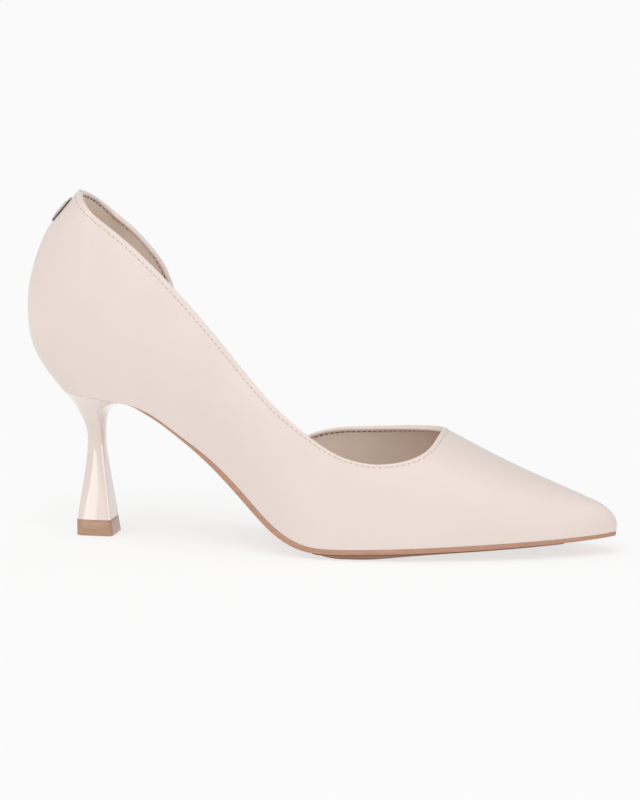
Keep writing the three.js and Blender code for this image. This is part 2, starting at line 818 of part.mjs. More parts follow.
function heelBody() {
  return cut(
    loft(heelRings()),
    post(HEEL_AXIS_X, 0, 0, TUBE_TOP_Z + GAP, TUBE_R + GAP),
    post(HEEL_AXIS_X, 0, SCREW_END_Z - GAP, 80, SCREW_R + GAP),
    ...nailPlaces.map(([x, y]) => post(x, y, NAIL_END_Z - GAP, 80, NAIL_R + GAP, 12)),
  );
}

function heelTube() {
  return cut(
    post(HEEL_AXIS_X, 0, LIFT + GAP, TUBE_TOP_Z, TUBE_R),
    post(HEEL_AXIS_X, 0, 0, TUBE_TOP_Z + 1, TUBE_BORE_R),
  );
}

function topLift() {
  const corner = (c) => (c > 0 ? frontCorner(LIFT) : backCorner(LIFT));
  const rings = [
    [LIFT_HALF - LIFT_CHAMFER, 0, LIFT_LEAN],
    [LIFT_HALF, LIFT_CHAMFER, LIFT_LEAN],
    [LIFT_TOP_HALF, LIFT, 0],
  ].map(([half, z, lean]) => ring(HEEL_AXIS_X + lean, half, half, half, corner, level(z)));
  return cut(loft(rings), post(HEEL_AXIS_X, 0, PIN_SEAT_Z - GAP, 20, PIN_R + GAP));
}

function headedPin(x, y, r, headR, endZ) {
  const z = headZ(x);
  return turned(x, y, [
    [0, endZ],
    [r, endZ + POINT],
    [r, z],
    [headR, z],
    [headR, z + HEAD],
    [0, z + HEAD],
  ]);
}

// ---------------------------------------------------------------- insole boards and shank
const rivetPlaces = [SHANK_BACK_X + RIVET_FROM_BACK, SHANK_FRONT_X - RIVET_FROM_FRONT];

// A cylinder square to the board, from one height to another at x.
function squarePost(x, z0, z1, r) {
  const tilt = Math.atan(feather(x + 0.5) - feather(x - 0.5));
  return new THREE.CylinderGeometry(r, r, (z1 - z0) * Math.cos(tilt), 16)
    .rotateX(Math.PI / 2)
    .rotateY(-tilt)
    .translate(x, 0, (z0 + z1) / 2);
}

const rivetHole = (x) => squarePost(x, feather(x) - 6, boardTop(x) + 6, RIVET_R + GAP);

function shankBoard() {
  const backX = SEAT_BACK_X + INSOLE_INSET + 0.05;
  const board = insetStrip(backX, BOARD_JOINT_X - GAP / 2, INSOLE_INSET, boardTop, boardBottom);
  return cut(
    board,
    post(HEEL_AXIS_X, 0, 0, 80, SCREW_R + GAP),
    headPocket(HEEL_AXIS_X, 0, SCREW_HEAD_R),
    ...nailPlaces.flatMap(([x, y]) => [post(x, y, 0, 80, NAIL_R + GAP, 12), headPocket(x, y, NAIL_HEAD_R)]),
    ...rivetPlaces.map(rivetHole),
  );
}

function steelShank() {
  const places = stations(SHANK_BACK_X, SHANK_FRONT_X);
  const bar = strip(places, () => -SHANK_HALF, () => SHANK_HALF, shankTop, shankBottom);
  return cut(bar, post(HEEL_AXIS_X, 0, 0, 80, SCREW_R + GAP), ...rivetPlaces.map(rivetHole));
}

function rivet(x) {
  return squarePost(x, shankBottom(x), boardTop(x) - 0.1, RIVET_R);
}

// ---------------------------------------------------------------- trim
// The bar follows the back of the shoe; rise is its distance off the leather.
function backPoint(height, rise) {
  const d = 0.05;
  const slope = (backReach(height + d) - backReach(height - d)) / (2 * d);
  const length = Math.hypot(1, slope);
  return new THREE.Vector2(
    SEAT_X - backReach(height) - rise / length,
    feather(SEAT_BACK_X) + height - (rise * slope) / length,
  );
}

// Heights above the seat, evenly spaced along the bar from its lower to its upper end.
function barHeights() {
  const heights = [COUNTER_Z - SEAT_BACK_Z - BAR_BELOW];
  const d = 0.05;
  let length = 0;
  while (length < BAR_LENGTH) {
    const h = heights[0];
    heights.unshift(h - d);
    length += backPoint(h, 0).distanceTo(backPoint(h - d, 0));
  }
  const count = 12;
  return range(0, count).map((i) => heights[Math.round((i * (heights.length - 1)) / count)]);
}

function uprightDisc(point, inward, r, depth, sides = 12) {
  const pin = new THREE.CylinderGeometry(r, r, depth, sides);
  pin.applyQuaternion(
    new THREE.Quaternion().setFromUnitVectors(new THREE.Vector3(0, 1, 0), inward),
  );
  return pin.translate(point.x, 0, point.y);
}

function backNormal(height) {
  const a = backPoint(height, 0);
  const b = backPoint(height, 1);
  return new THREE.Vector3(b.x - a.x, 0, b.y - a.y).normalize();
}

const heights = barHeights();
const prongHeights = [heights[2], heights[heights.length - 3]];

function backTrim() {
  const outline = heights
    .map((h) => backPoint(h, GAP))
    .concat([...heights].reverse().map((h) => backPoint(h, GAP + BAR)));
  const bar = new THREE.ExtrudeGeometry(new THREE.Shape(outline), { depth: BAR_WIDTH, bevelEnabled: false })
    .rotateX(Math.PI / 2)
    .translate(0, BAR_WIDTH / 2, 0);
  const studs = range(0, BAR_STUDS - 1).map((i) => {
    const h = heights[Math.round(((i + 0.5) * (heights.length - 1)) / BAR_STUDS)];
    const p = backPoint(h, GAP + BAR * 0.8);
    return new THREE.SphereGeometry(BAR_STUD_R, 12, 8).translate(p.x, 0, p.y);
  });
  const prongs = prongHeights.map((h) =>
    uprightDisc(backPoint(h, GAP + 0.2 - BAR_PRONG / 2), backNormal(h), BAR_PRONG_R, BAR_PRONG),
  );
  return join(bar, ...studs, ...prongs);
}

const prongHoles = () =>
  prongHeights.map((h) => uprightDisc(backPoint(h, 0), backNormal(h), BAR_PRONG_R + GAP, 4));

// ---------------------------------------------------------------- topline stitching

// The point STITCH_EDGE below the topline, measured square to it over the surface.
function stitchPoint(xi, side) {
  const d = 0.01;
  const turn = topTurn(xi, side);
  const along = skin(xi + d, turn, side).sub(skin(xi - d, turn, side)).divideScalar(2 * d);
  const rise = skin(xi, turn, side).sub(skin(xi, turn - d, side)).divideScalar(d);
  const slope = (topTurn(xi + d, side) - topTurn(xi - d, side)) / (2 * d);
  const edge = along.clone().addScaledVector(rise, slope).normalize();
  const down = edge.clone().cross(skinNormal(xi, turn, side)).multiplyScalar(-side).normalize();
  if (down.z > 0) down.negate();
  const [aa, ar, rr] = [along.dot(along), along.dot(rise), rise.dot(rise)];
  const [da, dr] = [down.dot(along) * STITCH_EDGE, down.dot(rise) * STITCH_EDGE];
  const det = aa * rr - ar * ar;
  const at = xi + (da * rr - dr * ar) / det;
  const up = turn + (dr * aa - da * ar) / det;
  return skin(at, up, side).addScaledVector(skinNormal(at, up, side), THREAD_RISE);
}

function thread(points) {
  const section = new THREE.Shape(
    range(0, 5).map((i) => {
      const a = (i * Math.PI) / 3;
      return new THREE.Vector2(THREAD_R * Math.cos(a), THREAD_R * Math.sin(a));
    }),
  );
  return new THREE.ExtrudeGeometry(section, {
    steps: points.length,
    extrudePath: new THREE.CatmullRomCurve3(points),
    bevelEnabled: false,
  });
}

function stitchRow(from, to, side) {
  return columns(from, to, side, STITCH_COLUMN).map((xi) => stitchPoint(xi, side));
}

// One thread from the back, along the outer side, over the ridge and down the vamp's inner side.
function toplineThread() {
  const ridgeX = THROAT_X + STITCH_EDGE;
  const rise = skinNormal(ridgeX, Math.PI / 2, OUTER).multiplyScalar(THREAD_RISE);
  const ridge = skin(ridgeX, Math.PI / 2, OUTER).add(rise);
  const outer = stitchRow(BACK_XI + 3, THROAT_X - 0.3, OUTER);
  const inner = stitchRow(CUT_FRONT_X + 0.7, THROAT_X - 0.3, INNER).reverse();
  return thread([...outer, ridge, ...inner]);
}

// ---------------------------------------------------------------- the shoe
const shoe = new THREE.Group();

function add(name, geometry, colour, roughness, metalness = 0) {
  const material = new THREE.MeshStandardMaterial({ color: colour, roughness, metalness });
  const mesh = new THREE.Mesh(geometry, material);
  mesh.name = name;
  shoe.add(mesh);
}

const NUDE = 0xe9dad0;
const LINING_TONE = 0xd9c8ba;
const TAN = 0xb98a6b;
const STEEL = 0xb8babd;

add("upper_outer", cut(upperOuter(), ...prongHoles()), NUDE, 0.55);
add("medial_quarter", cut(medialQuarter(), ...prongHoles()), NUDE, 0.55);
add("vamp_lining", vampLining(), LINING_TONE, 0.8);
add("quarter_lining", quarterLining(), LINING_TONE, 0.8);
add("heel_counter", heelCounter(), 0xcabfa9, 0.8);
add("toe_puff", toePuff(), 0xcabfa9, 0.8);
add(
  "forepart_insole",
  insetStrip(BOARD_JOINT_X + GAP / 2, INSOLE_FRONT_X, INSOLE_INSET, boardTop, boardBottom),
  0xb9a489,
  0.9,
);
add("shank_board", shankBoard(), 0x9c8568, 0.9);
add("steel_shank", steelShank(), STEEL, 0.4, 1);
rivetPlaces.forEach((x, i) => add("shank_rivet_" + (i + 1), rivet(x), STEEL, 0.35, 1));
add("insole_foam", insetStrip(SOCK_BACK_X, SOCK_FRONT_X, SOCK_INSET, foamTop, foamBottom), 0xefe6d8, 0.95);
add(
  "sock_lining",
  insetStrip(SOCK_BACK_X, SOCK_FRONT_X, SOCK_INSET, sockTop, sockBottom),
  LINING_TONE,
  0.75,
);
add(
  "bottom_filler",
  insetStrip(FILLER_X, FILLER_FRONT_X, MARGIN_CLEAR, (x) => boardBottom(x) - GAP, (x) => soleTop(x) + GAP),
  0x8f7b62,
  0.95,
);
add("outsole", insetStrip(BREAST_X + SOLE_JOINT, TOE_X - SOLE_SHORT, 0, soleTop, soleBottom), TAN, 0.6);
add("forepart_tread", forepartTread(), TAN, 0.7);
add("heel_body", heelBody(), 0xe6d6cb, 0.15);
add("heel_tube", heelTube(), STEEL, 0.4, 1);
add("top_lift", topLift(), TAN, 0.5);
add(
  "top_lift_pin",
  turned(HEEL_AXIS_X, 0, [
    [0, PIN_SEAT_Z],
    [PIN_R, PIN_SEAT_Z],
    [PIN_R, PIN_TOP_Z - 1],
    [0, PIN_TOP_Z],
  ]),
  STEEL,
  0.35,
  1,
);
add("heel_screw", headedPin(HEEL_AXIS_X, 0, SCREW_R, SCREW_HEAD_R, SCREW_END_Z), STEEL, 0.35, 1);
nailPlaces.forEach(([x, y], i) =>
  add("heel_nail_" + (i + 1), headedPin(x, y, NAIL_R, NAIL_HEAD_R, NAIL_END_Z), STEEL, 0.35, 1),
);
add("back_trim", backTrim(), 0xd8cfc4, 0.2, 1);
add("topline_thread", toplineThread(), 0xe3d3c7, 0.7);
add("quarter_thread", thread(stitchRow(BACK_XI + 3, CUT_BACK_X - 1, INNER)), 0xe3d3c7, 0.7);

// The origin is the middle of the ground under the shoe's bounding box.
const box = new THREE.Box3().setFromObject(shoe);
const middle = box.getCenter(new THREE.Vector3());
shoe.position.set(-middle.x, -middle.y, -box.min.z);

const part = new THREE.Group();
part.add(shoe);
export default part;
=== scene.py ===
"""A pointed half-d'Orsay pump for the right foot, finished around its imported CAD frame.

Lengths are millimetres in the shoe's own frame: X = 0 above the heel, +X to the toe, +Y to the inner
(medial) side, +Z up from the ground. row() turns them into metres in the row frame.
"""

import math

import bmesh
import bpy
import numpy as np
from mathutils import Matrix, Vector
from mathutils.bvhtree import BVHTree


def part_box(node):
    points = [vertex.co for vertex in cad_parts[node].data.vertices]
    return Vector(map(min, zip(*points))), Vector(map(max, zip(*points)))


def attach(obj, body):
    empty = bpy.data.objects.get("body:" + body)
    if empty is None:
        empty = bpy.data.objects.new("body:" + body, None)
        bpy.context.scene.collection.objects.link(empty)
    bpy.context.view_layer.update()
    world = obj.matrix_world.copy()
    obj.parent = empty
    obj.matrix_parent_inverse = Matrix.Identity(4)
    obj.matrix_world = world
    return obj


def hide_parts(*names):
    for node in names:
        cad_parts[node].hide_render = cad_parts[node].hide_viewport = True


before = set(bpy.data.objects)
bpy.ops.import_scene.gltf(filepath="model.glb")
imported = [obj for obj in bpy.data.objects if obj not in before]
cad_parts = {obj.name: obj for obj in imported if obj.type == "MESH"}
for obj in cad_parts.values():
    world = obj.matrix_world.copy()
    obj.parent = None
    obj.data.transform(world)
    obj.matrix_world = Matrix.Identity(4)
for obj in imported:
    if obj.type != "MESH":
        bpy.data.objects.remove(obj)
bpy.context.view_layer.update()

# -------- sizes, as in the CAD source, which describes each
TOE_X = 211.5  # toe tip
SEAT_BACK_X = -14.9
SEAT_BACK_Z = 60.0
SEAT_X = 2.0  # widest place of the heel seat, where the round back begins
SEAT_HALF = 18.5
FEATHER_END_Z = 8.6
BALL_OUTER_X = 104.0
BALL_INNER_X = 118.0
BALL_OUTER = 37.5
BALL_INNER = 35.5
TOE_ROUND = 1.7
TOE_TAPER = 0.7
TIP_SHORT = 1.6  # an inset outline ends this many insets short of the toe tip
THROAT_X = 141.6
THROAT_Z = 47.0
THROAT_LATE = 2.4  # the outer topline climbs to the throat late and steeply, by these powers
THROAT_STEEP = 0.55
DIP_X = 119.0
COUNTER_X = -7.9
COUNTER_Z = 141.2
CUT_BACK_X = 31.2  # inner side: where the quarter and the vamp meet the sole
CUT_FRONT_X = 66.0

FAN_R = 28.0  # the round back is laid out along the length as an arc of this radius
BACK_XI = SEAT_X - FAN_R * math.pi / 2  # the centre back, in that layout
BACK_CROWN = 102.0
BACK_LEAN = 1.5  # how much the sides lean in towards the top at the back; 1 is an ellipse
PINCH_LOW = 25.0  # between these heights above the seat the round back narrows to a blunt point
PINCH_HIGH = 78.0
POINT_ROUND = 0.12
SQUARE_START_X = 60.0
SQUARE_END_X = 190.0
SQUARE_SIDES = 0.28  # how much squarer the sections are there at the sides and at the top
SQUARE_TOP = 0.08
TIP = 4.0  # the sides' bulge dies out over this length at the toe tip
NOSE = 9.0
NOSE_DROP = 4.8

GAP = 0.3  # clearance between pieces that lie on each other
LEATHER = 0.9
LINING = 0.7
STIFFENER = 0.8
BOARD = 1.8
FOAM = 1.5
SOCK = 0.8
SOLE = 1.7  # under the forepart, and below at the waist, the heel and the toe
WAIST_SOLE = 2.8
SEAT_SOLE = 0.9
TOE_SOLE = 1.2
MARGIN = 7.0
MARGIN_LEAST = 0.3
MARGIN_SLANT = 1.35  # how much more it is drawn in lengthwise at the toe tip
PUFF_X = 168.0
COUNTER_OUTER_X = 26.0
COUNTER_INNER_X = 8.0
FADE = 14.0  # the lining closes up to the leather over this length beside a stiffener

TREAD_X = 95.0  # where the tread starts under the ball
TREAD_FLAT_END_X = 114.0
TREAD_END_X = 192.0
TREAD_INSET = 0.8
TREAD_BEVEL = 2.6

LIFT_HALF = 7.75  # heel tip: half its square side on the ground and where it meets the heel
LIFT_TOP_HALF = 7.35
LIFT = 6.5
LIFT_LEAN = 0.5  # its foot stands this far ahead of the heel's axis
NECK_Z = 38.0
NECK_HALF = 3.65
FLARE_Z = 40.0
BREAST_X = 16.0
HEEL_AXIS_X = -1.7
SPREAD_BACK = 1.7  # above the neck the heel spreads with these powers of the height
SPREAD_FRONT = 4.2
SPREAD_SIDE = 2
BREAST_ROUND = 2.2  # how square the breast is half way up to the seat, and at the seat
BREAST_SQUARE = 6

BAR_BELOW = 3.6  # the trim bar's upper end is this far below the top of the back
BAR_LENGTH = 12.5
BAR_WIDTH = 5.0
BAR_STUDS = 5

# -------- sizes that only the finish needs
SEAM = 0.1  # half of the gap at the back seam
ROLL = 0.4  # the upper turns under the sole edge with this radius
SEAT_ROLL = 0.08  # and over the heel
ROLL_START_X = BREAST_X - 2  # the radius grows from the one to the other over this stretch
ROLL_FULL_X = BREAST_X + 10
EDGE_ROW = 0.15  # spacing of the last mesh rows, which keeps the shading off the edge
PUFF_RISE = 9.0  # the stiffeners' bulge fades in over this height above the feather edge
COUNTER_THIN_Z = 112.0  # and the counter's fades out between these heights
COUNTER_END_Z = 130.0

TOP_ROLL = 0.5  # the folded topline stands this far above the leather's own edge
THROAT_BLEND = 3.0  # the upper's edge rises to the fold over this length behind the throat
FAN_OUT_X = 164.0  # the columns that end at the throat start here at the feather edge
FOLD = 0.75  # the leather is folded down inside by this
FOLD_THICK = 0.5
FOLD_CLEAR = 0.05  # and stands this far off the lining
FOLD_SUNK = 0.1  # the fold's ends lie this far inside the leather
LINING_BELOW = 0.9  # the lining ends this far below the topline

STITCH_PITCH = 2.3
STITCH_START = 0.8  # the first stitch lies this share of a pitch from the end
STITCH_LENGTH = 1.45
STITCH_R = 0.17
STITCH_OUT = 0.06  # the middle of a stitch stands this far off the leather
STITCH_END = 3.5  # the stitching stops this far above the sole
# needle holes: dark beads sunk in the leather between the stitches, painted shade in the holes
HOLE_LENGTH = 0.75
HOLE_R = 0.28
HOLE_OUT = -0.1
INNER_STITCH_R = 0.27
INNER_STITCH_OUT = -0.08
INNER_STITCH_EDGE = FOLD + 0.35  # inside, the stitching runs just below the fold

INSOLE_INSET = LEATHER + GAP + LINING + GAP + STIFFENER + GAP + 0.2
SOCK_INSET = INSOLE_INSET + 0.8  # the walls lean in over the edge of the foam
SOCK_SPREAD = 0.25  # the sock's edge stands this far outside the insole
SOCK_R = 1.2
SOCK_CROWN = 0.25  # it is this much lower in the middle
SOCK_SKIN = 0.2
SOCK_OVER_SOLE = 0.15  # its side ends this far above the feather edge at the open arch
SOCK_SHORT = 16.0  # the sock and the foam stop this far short of the toe tip
FOAM_SHORT = 18.0
FOAM_EDGE = 0.6
FOAM_CROWN = 0.2
ARCH_LAP = 2.5  # the sock's side drops to the sole this far beside the open arch

SOLE_FEATHER = 9.0  # the sole thins out over this length where it meets the heel
SOLE_SHORT = 0.3  # and stops this far short of the toe tip
SOLE_UP = 0.08  # its top is pressed this far into the upper
SOLE_EDGE = 0.5
SLAB_LEAST = 0.3  # least half width of the sheets along the sole, and of the sock
SOCK_LEAST = 0.4
TREAD_GROUND_X = 106.0  # the tread reaches the ground here
TREAD_ROLL = 1.9  # and starts this far above it
TREAD_CURL = 1.8  # the power of the distance with which it rises

HEEL_CHAMFER = 0.12  # cut off the heel's two front edges
CHAMFER_ANGLE = math.radians(56)
LIFT_CORNER = 11.0  # how square the heel tip is in front
LIFT_ROUND = 0.45  # height and depth of the rounded edge at its foot
LIFT_EDGE = 0.15

# thickness of the pad that the trim bar stands on; the pad's dark colour is painted shadow
BAR_SHADOW_PAD = 0.14
BAR_FULL = 1.0  # thickness of the bar in the middle and at its ends
BAR_END = 0.35
BAR_FULL_SHARE = 0.4  # it thins from this share of its half length
BAR_NARROW_SHARE = 0.86  # and narrows from this one
BAR_NARROW = 0.7  # by this much of its width
STUD_R = 0.95
STUD_RISE = 0.4
SUNK = 0.1  # pieces that stand on another start this far inside it

SHEET_CREASE = 50  # degrees; edges that turn more sharply are drawn sharp
HEEL_CREASE = 40
LIFT_CREASE = 35
STUD_CREASE = 60

# -------- mesh fineness
COLUMN = 1.5  # spacing of the columns along the topline, mm
WALL_ROWS = 44
MARGIN_ROWS = 4
ROLL_ROWS = 5
FRONT_COLUMNS = 56
STATION = 1.5  # spacing of the sections along the sole, mm
ACROSS = 15
EDGE_POINTS = 5
HEEL_SIDES = 96
NECK_RINGS = 26
SEAT_RINGS = 30
BAR_RINGS = 33
BAR_SIDES = 20
STUD_ROWS = 6
STUD_SIDES = 16
STITCH_RINGS = 7
STITCH_SIDES = 8

# -------- colours
NUDE = (0.800, 0.684, 0.630)
LINING_TONE = (0.840, 0.710, 0.620)
SOCK_TONE = (0.600, 0.500, 0.430)
LACQUER = (0.790, 0.680, 0.620)
TAN = (0.490, 0.268, 0.178)
TIP_TAN = (0.450, 0.262, 0.165)
# painted shade: the tread is the sole's tan darkened, for the shaded lower band of the sole edge
TREAD_PAINTED_SHADE = 0.62  # the tread is this much of the sole's tan
THREAD_SHADE = 1.04  # and the thread this much of the leather
DARK_THREAD = (0.25, 0.18, 0.15)
# painted shade: the colour of the beads in the needle holes
HOLE_PAINTED_SHADE = (0.58, 0.48, 0.45)
PALE_METAL = (0.86, 0.81, 0.76)
STEEL = (0.62, 0.62, 0.63)
# painted shadow: the colour of the pad under the trim bar
BAR_PAINTED_SHADOW = (0.50, 0.43, 0.38)
FIBRE = (0.62, 0.55, 0.45)
BOARD_BROWN = (0.50, 0.38, 0.26)
FOAM_TONE = (0.82, 0.77, 0.70)
CORK = (0.36, 0.28, 0.20)
WHITE = (1.0, 1.0, 1.0)

# -------- camera and light, in metres in the row frame
CAMERA_AZIMUTH = 11.0
CAMERA_RISE = 9.0
CAMERA_PLACE = (332.9, -1242.8, 258.4)  # in the shoe's frame, millimetres
CAMERA_LENS = 143.3
SENSOR = 36.0
CAMERA_FAR = 20.0
STAGE_HALF = 30.0
FLOOR_WHITE = 0.29
FLOOR_GLOW = 0.68
WORLD_GLOW = 0.62
SUN_FROM = (-0.12, -0.55, 1.0)
SUN_POWER = 1.2
SUN_ANGLE = 60.0
STRIP_WIDTH = 0.12
STRIP_HEIGHT = 0.9
FRONT_STRIP = ((-0.52, -1.38, 0.22), (-0.09, 0.0, 0.05), 1.0)  # place, target, power
EDGE_STRIP = ((0.93, -0.80, 0.2), (-0.09, 0.0, 0.03), 0.95)

# The shoe's frame in the row frame, found from the toe tip and the middle of the heel tip.
_lift_low, _lift_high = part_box("top_lift")
ORIGIN = np.array([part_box("upper_outer")[1].x * 1000 - TOE_X, (_lift_low.y + _lift_high.y) * 500, 0.0])

OUTER, INNER = -1.0, 1.0  # sides, by the sign of Y


def row(points):
    return (np.asarray(points, float) + ORIGIN) / 1000.0


# -------- small maths
def lerp(a, b, t):
    return a + (b - a) * t


def smoothstep(a, b, x):
    t = np.clip((np.asarray(x, float) - a) / (b - a), 0, 1)
    return t * t * (3 - 2 * t)


def unit(v):
    return v / np.maximum(np.linalg.norm(v, axis=-1, keepdims=True), 1e-12)


def lengths(points):
    """The length along a row of points, from the first to each."""
    return np.concatenate([[0], np.cumsum(np.linalg.norm(np.diff(points, axis=0), axis=1))])


class Curve:
    """A natural cubic spline through (x, y) points, straight beyond its ends."""

    def __init__(self, *points):
        self.x, self.y = np.array(points, float).T
        count = len(self.x)
        step = np.diff(self.x)
        slope = np.diff(self.y) / step
        matrix = np.eye(count)
        right = np.zeros(count)
        for i in range(1, count - 1):
            matrix[i, i - 1 : i + 2] = step[i - 1], 2 * (step[i - 1] + step[i]), step[i]
            right[i] = 6 * (slope[i] - slope[i - 1])
        self.bend = np.linalg.solve(matrix, right)

    def __call__(self, x):
        x = np.asarray(x, float)
        i = np.clip(np.searchsorted(self.x, x) - 1, 0, len(self.x) - 2)
        x0, x1, y0, y1 = self.x[i], self.x[i + 1], self.y[i], self.y[i + 1]
        m0, m1, h = self.bend[i], self.bend[i + 1], x1 - x0
        inside = np.clip(x, self.x[0], self.x[-1])
        a, b = (x1 - inside) / h, (inside - x0) / h
        y = a * y0 + b * y1 + ((a**3 - a) * m0 + (b**3 - b) * m1) * h * h / 6
        slope = (y1 - y0) / h + ((1 - 3 * a * a) * m0 + (3 * b * b - 1) * m1) * h / 6
        return y + slope * (x - inside)


# -------- the outer surface
feather = Curve(
    (SEAT_BACK_X, SEAT_BACK_Z), (0, 58.8), (9, 57.5), (18, 55.8), (25, 52.8), (36, 45.4), (50, 35.8),
    (65, 23.4), (77, 12.8), (84, 8.2), (91, 5.4), (104, 4.3), (150, 5.9), (TOE_X, FEATHER_END_Z),
)
crown = Curve(
    (SEAT_X, 153), (26, 131), (56, 103), (86, 79.5), (104, 68), (121, 57.9), (THROAT_X, THROAT_Z),
    (166, 34.9), (189, 25.6), (TOE_X, 17.2),
)
bulge = Curve((SEAT_X, 10), (26, 10), (56, 8.5), (86, 5), (104, 2.5), (135, 1.2), (TOE_X, 0.4))
waist_outer = Curve(
    (SEAT_X, SEAT_HALF), (22, 18.2), (42, 18.6), (62, 24.5), (82, 33.2), (BALL_OUTER_X, BALL_OUTER),
    (BALL_OUTER_X + 20, BALL_OUTER - 0.3),
)
waist_inner = Curve(
    (SEAT_X, SEAT_HALF), (22, 17.2), (48, 15.6), (72, 21.5), (96, 31.2), (BALL_INNER_X, BALL_INNER),
    (BALL_INNER_X + 20, BALL_INNER - 0.3),
)
back_reach = Curve(
    (0, SEAT_X - SEAT_BACK_X), (5, 21.4), (10, 25.2), (17, 29.1), (24, 30.9), (32, 31.5), (40, 31.2),
    (50, 29.2), (59, 26.2), (66.4, 22.3), (72.6, 17.1), (COUNTER_Z - SEAT_BACK_Z, SEAT_X - COUNTER_X),
)


def half_width(x, side, inset=0.0):
    """Half width of the feather outline, drawn in by inset all round."""
    x = np.asarray(x, float)
    if side == OUTER:
        ball_x, ball, waist = BALL_OUTER_X, BALL_OUTER, waist_outer
    else:
        ball_x, ball, waist = BALL_INNER_X, BALL_INNER, waist_inner
    reach = SEAT_X - SEAT_BACK_X - inset
    back = (SEAT_HALF - inset) * np.sqrt(np.clip(1 - ((SEAT_X - x) / reach) ** 2, 0, 1))
    t = np.clip((x - ball_x) / (TOE_X - TIP_SHORT * inset - ball_x), 0, 1)
    front = (ball - inset) * (1 - t**TOE_ROUND) ** TOE_TAPER
    return np.where(x < SEAT_X, back, np.where(x < ball_x, waist(x) - inset, front))


def crown_height(x):
    nose = np.clip((x - (TOE_X - NOSE)) / NOSE, 0, 1)
    return crown(x) - NOSE_DROP * (1 - np.sqrt(1 - nose * nose)) - feather(x)


def squareness(xi):
    """The sections turn from oval to squarer towards the toe."""
    return smoothstep(SQUARE_START_X, SQUARE_END_X, xi)


def skin(xi, turn, side):
    """A point of the outer surface. Behind SEAT_X, xi runs round the back; turn is 0 at the feather edge."""
    xi, turn = np.broadcast_arrays(np.asarray(xi, float), np.asarray(turn, float))
    up = np.clip(np.sin(turn), 0, 1)
    over = np.clip(np.cos(turn), 0, 1)
    phi = np.clip((SEAT_X - xi) / FAN_R, 0, math.pi / 2)
    s = np.sin(phi)
    seat_x = SEAT_X - (SEAT_X - SEAT_BACK_X) * s
    back_height = lerp(crown_height(SEAT_X), BACK_CROWN, s * s) * up
    c = np.cos(phi)
    blunt = np.sqrt((c * c + POINT_ROUND) / (1 + POINT_ROUND))
    back_half = (SEAT_HALF + bulge(SEAT_X) * 2 * up) * over**BACK_LEAN * c
    back_half = back_half * lerp(1, blunt, smoothstep(PINCH_LOW, PINCH_HIGH, back_height))
    back = (SEAT_X - back_reach(back_height) * s, side * back_half, feather(seat_x) + back_height)
    x = np.maximum(xi, SEAT_X)
    square = squareness(x)
    lean = lerp(BACK_LEAN, 1, smoothstep(SEAT_X, SQUARE_START_X, x))
    half = half_width(x, side) * over ** (lean - SQUARE_SIDES * square)
    closing = np.clip((TOE_X - x) / TIP, 0, 1)
    width = np.where(closing < 1, lerp(half_width(x, side) * over, half, closing), half)
    width = width + bulge(x) * 2 * up * over**lean * closing
    front = (x, side * width, feather(x) + crown_height(x) * up ** (1 - SQUARE_TOP * square))
    behind = (xi < SEAT_X)[..., None]
    return np.where(behind, np.stack(back, -1), np.stack(front, -1))


def turn_at(xi, height):
    """The turn at which the surface is this high above the feather edge."""
    xi = np.asarray(xi, float)
    s = np.sin(np.clip((SEAT_X - xi) / FAN_R, 0, math.pi / 2))
    x = np.maximum(xi, SEAT_X)
    whole = np.where(xi < SEAT_X, lerp(crown_height(SEAT_X), BACK_CROWN, s * s), crown_height(x))
    power = 1 - SQUARE_TOP * squareness(x)
    return np.arcsin(np.clip(height / whole, 0, 1) ** (1 / power))


# -------- the topline
topline_outer = Curve(
    (COUNTER_X, COUNTER_Z), (1, 133.8), (17.6, 121), (34.6, 105.4), (56, 83.2), (75.6, 62.4), (92.4, 48.9),
    (106, 41), (DIP_X, 38), (DIP_X + 13, 37.4),
)
topline_quarter = Curve(
    (COUNTER_X, COUNTER_Z), (1, 132), (10, 124.6), (18, 115.8), (24, 105.6), (28, 90.5), (30.2, 70),
    (CUT_BACK_X, 51.5),
)
topline_vamp = Curve(
    (CUT_FRONT_X, 23.5), (67.2, 28), (70.5, 32.6), (77, 36.8), (87, 40.9), (104, 42.9), (123, 44.6),
    (135, 46), (THROAT_X, THROAT_Z),
)


def topline(x, side):
    if side == INNER:
        middle = (CUT_BACK_X + CUT_FRONT_X) / 2
        return np.where(x < middle, topline_quarter(x), topline_vamp(x))
    t = np.clip((x - DIP_X) / (THROAT_X - DIP_X), 0, 1)
    throat = lerp(topline_outer(DIP_X), THROAT_Z, 1 - (1 - t**THROAT_LATE) ** THROAT_STEEP)
    return np.where(x < DIP_X, topline_outer(x), throat)


def top_turn(xi, side):
    """How far up the surface reaches: to the topline, or to the crown ahead of the throat."""
    xi = np.asarray(xi, float)
    low = np.full(xi.shape, 0.02)
    high = np.full(xi.shape, math.pi / 2)
    for _ in range(40):
        middle = (low + high) / 2
        p = skin(xi, middle, side)
        under = p[..., 2] < topline(p[..., 0], side)
        low = np.where(under, middle, low)
        high = np.where(under, high, middle)
    return np.where(xi >= THROAT_X - 1e-6, math.pi / 2, low)


def topline_places(start, end, side):
    """Places along one side, spaced evenly along its topline, finer samples towards the end."""
    xi = lerp(start, end, 1 - (1 - np.linspace(0, 1, 3000)) ** 3)
    points = skin(xi, top_turn(xi, side), side)
    length = lengths(points)
    count = max(4, round(length[-1] / COLUMN))
    places = np.interp(np.linspace(0, length[-1], count + 1), length, xi)
    places[0], places[-1] = start, end
    return np.insert(places, 1, start + EDGE_ROW)


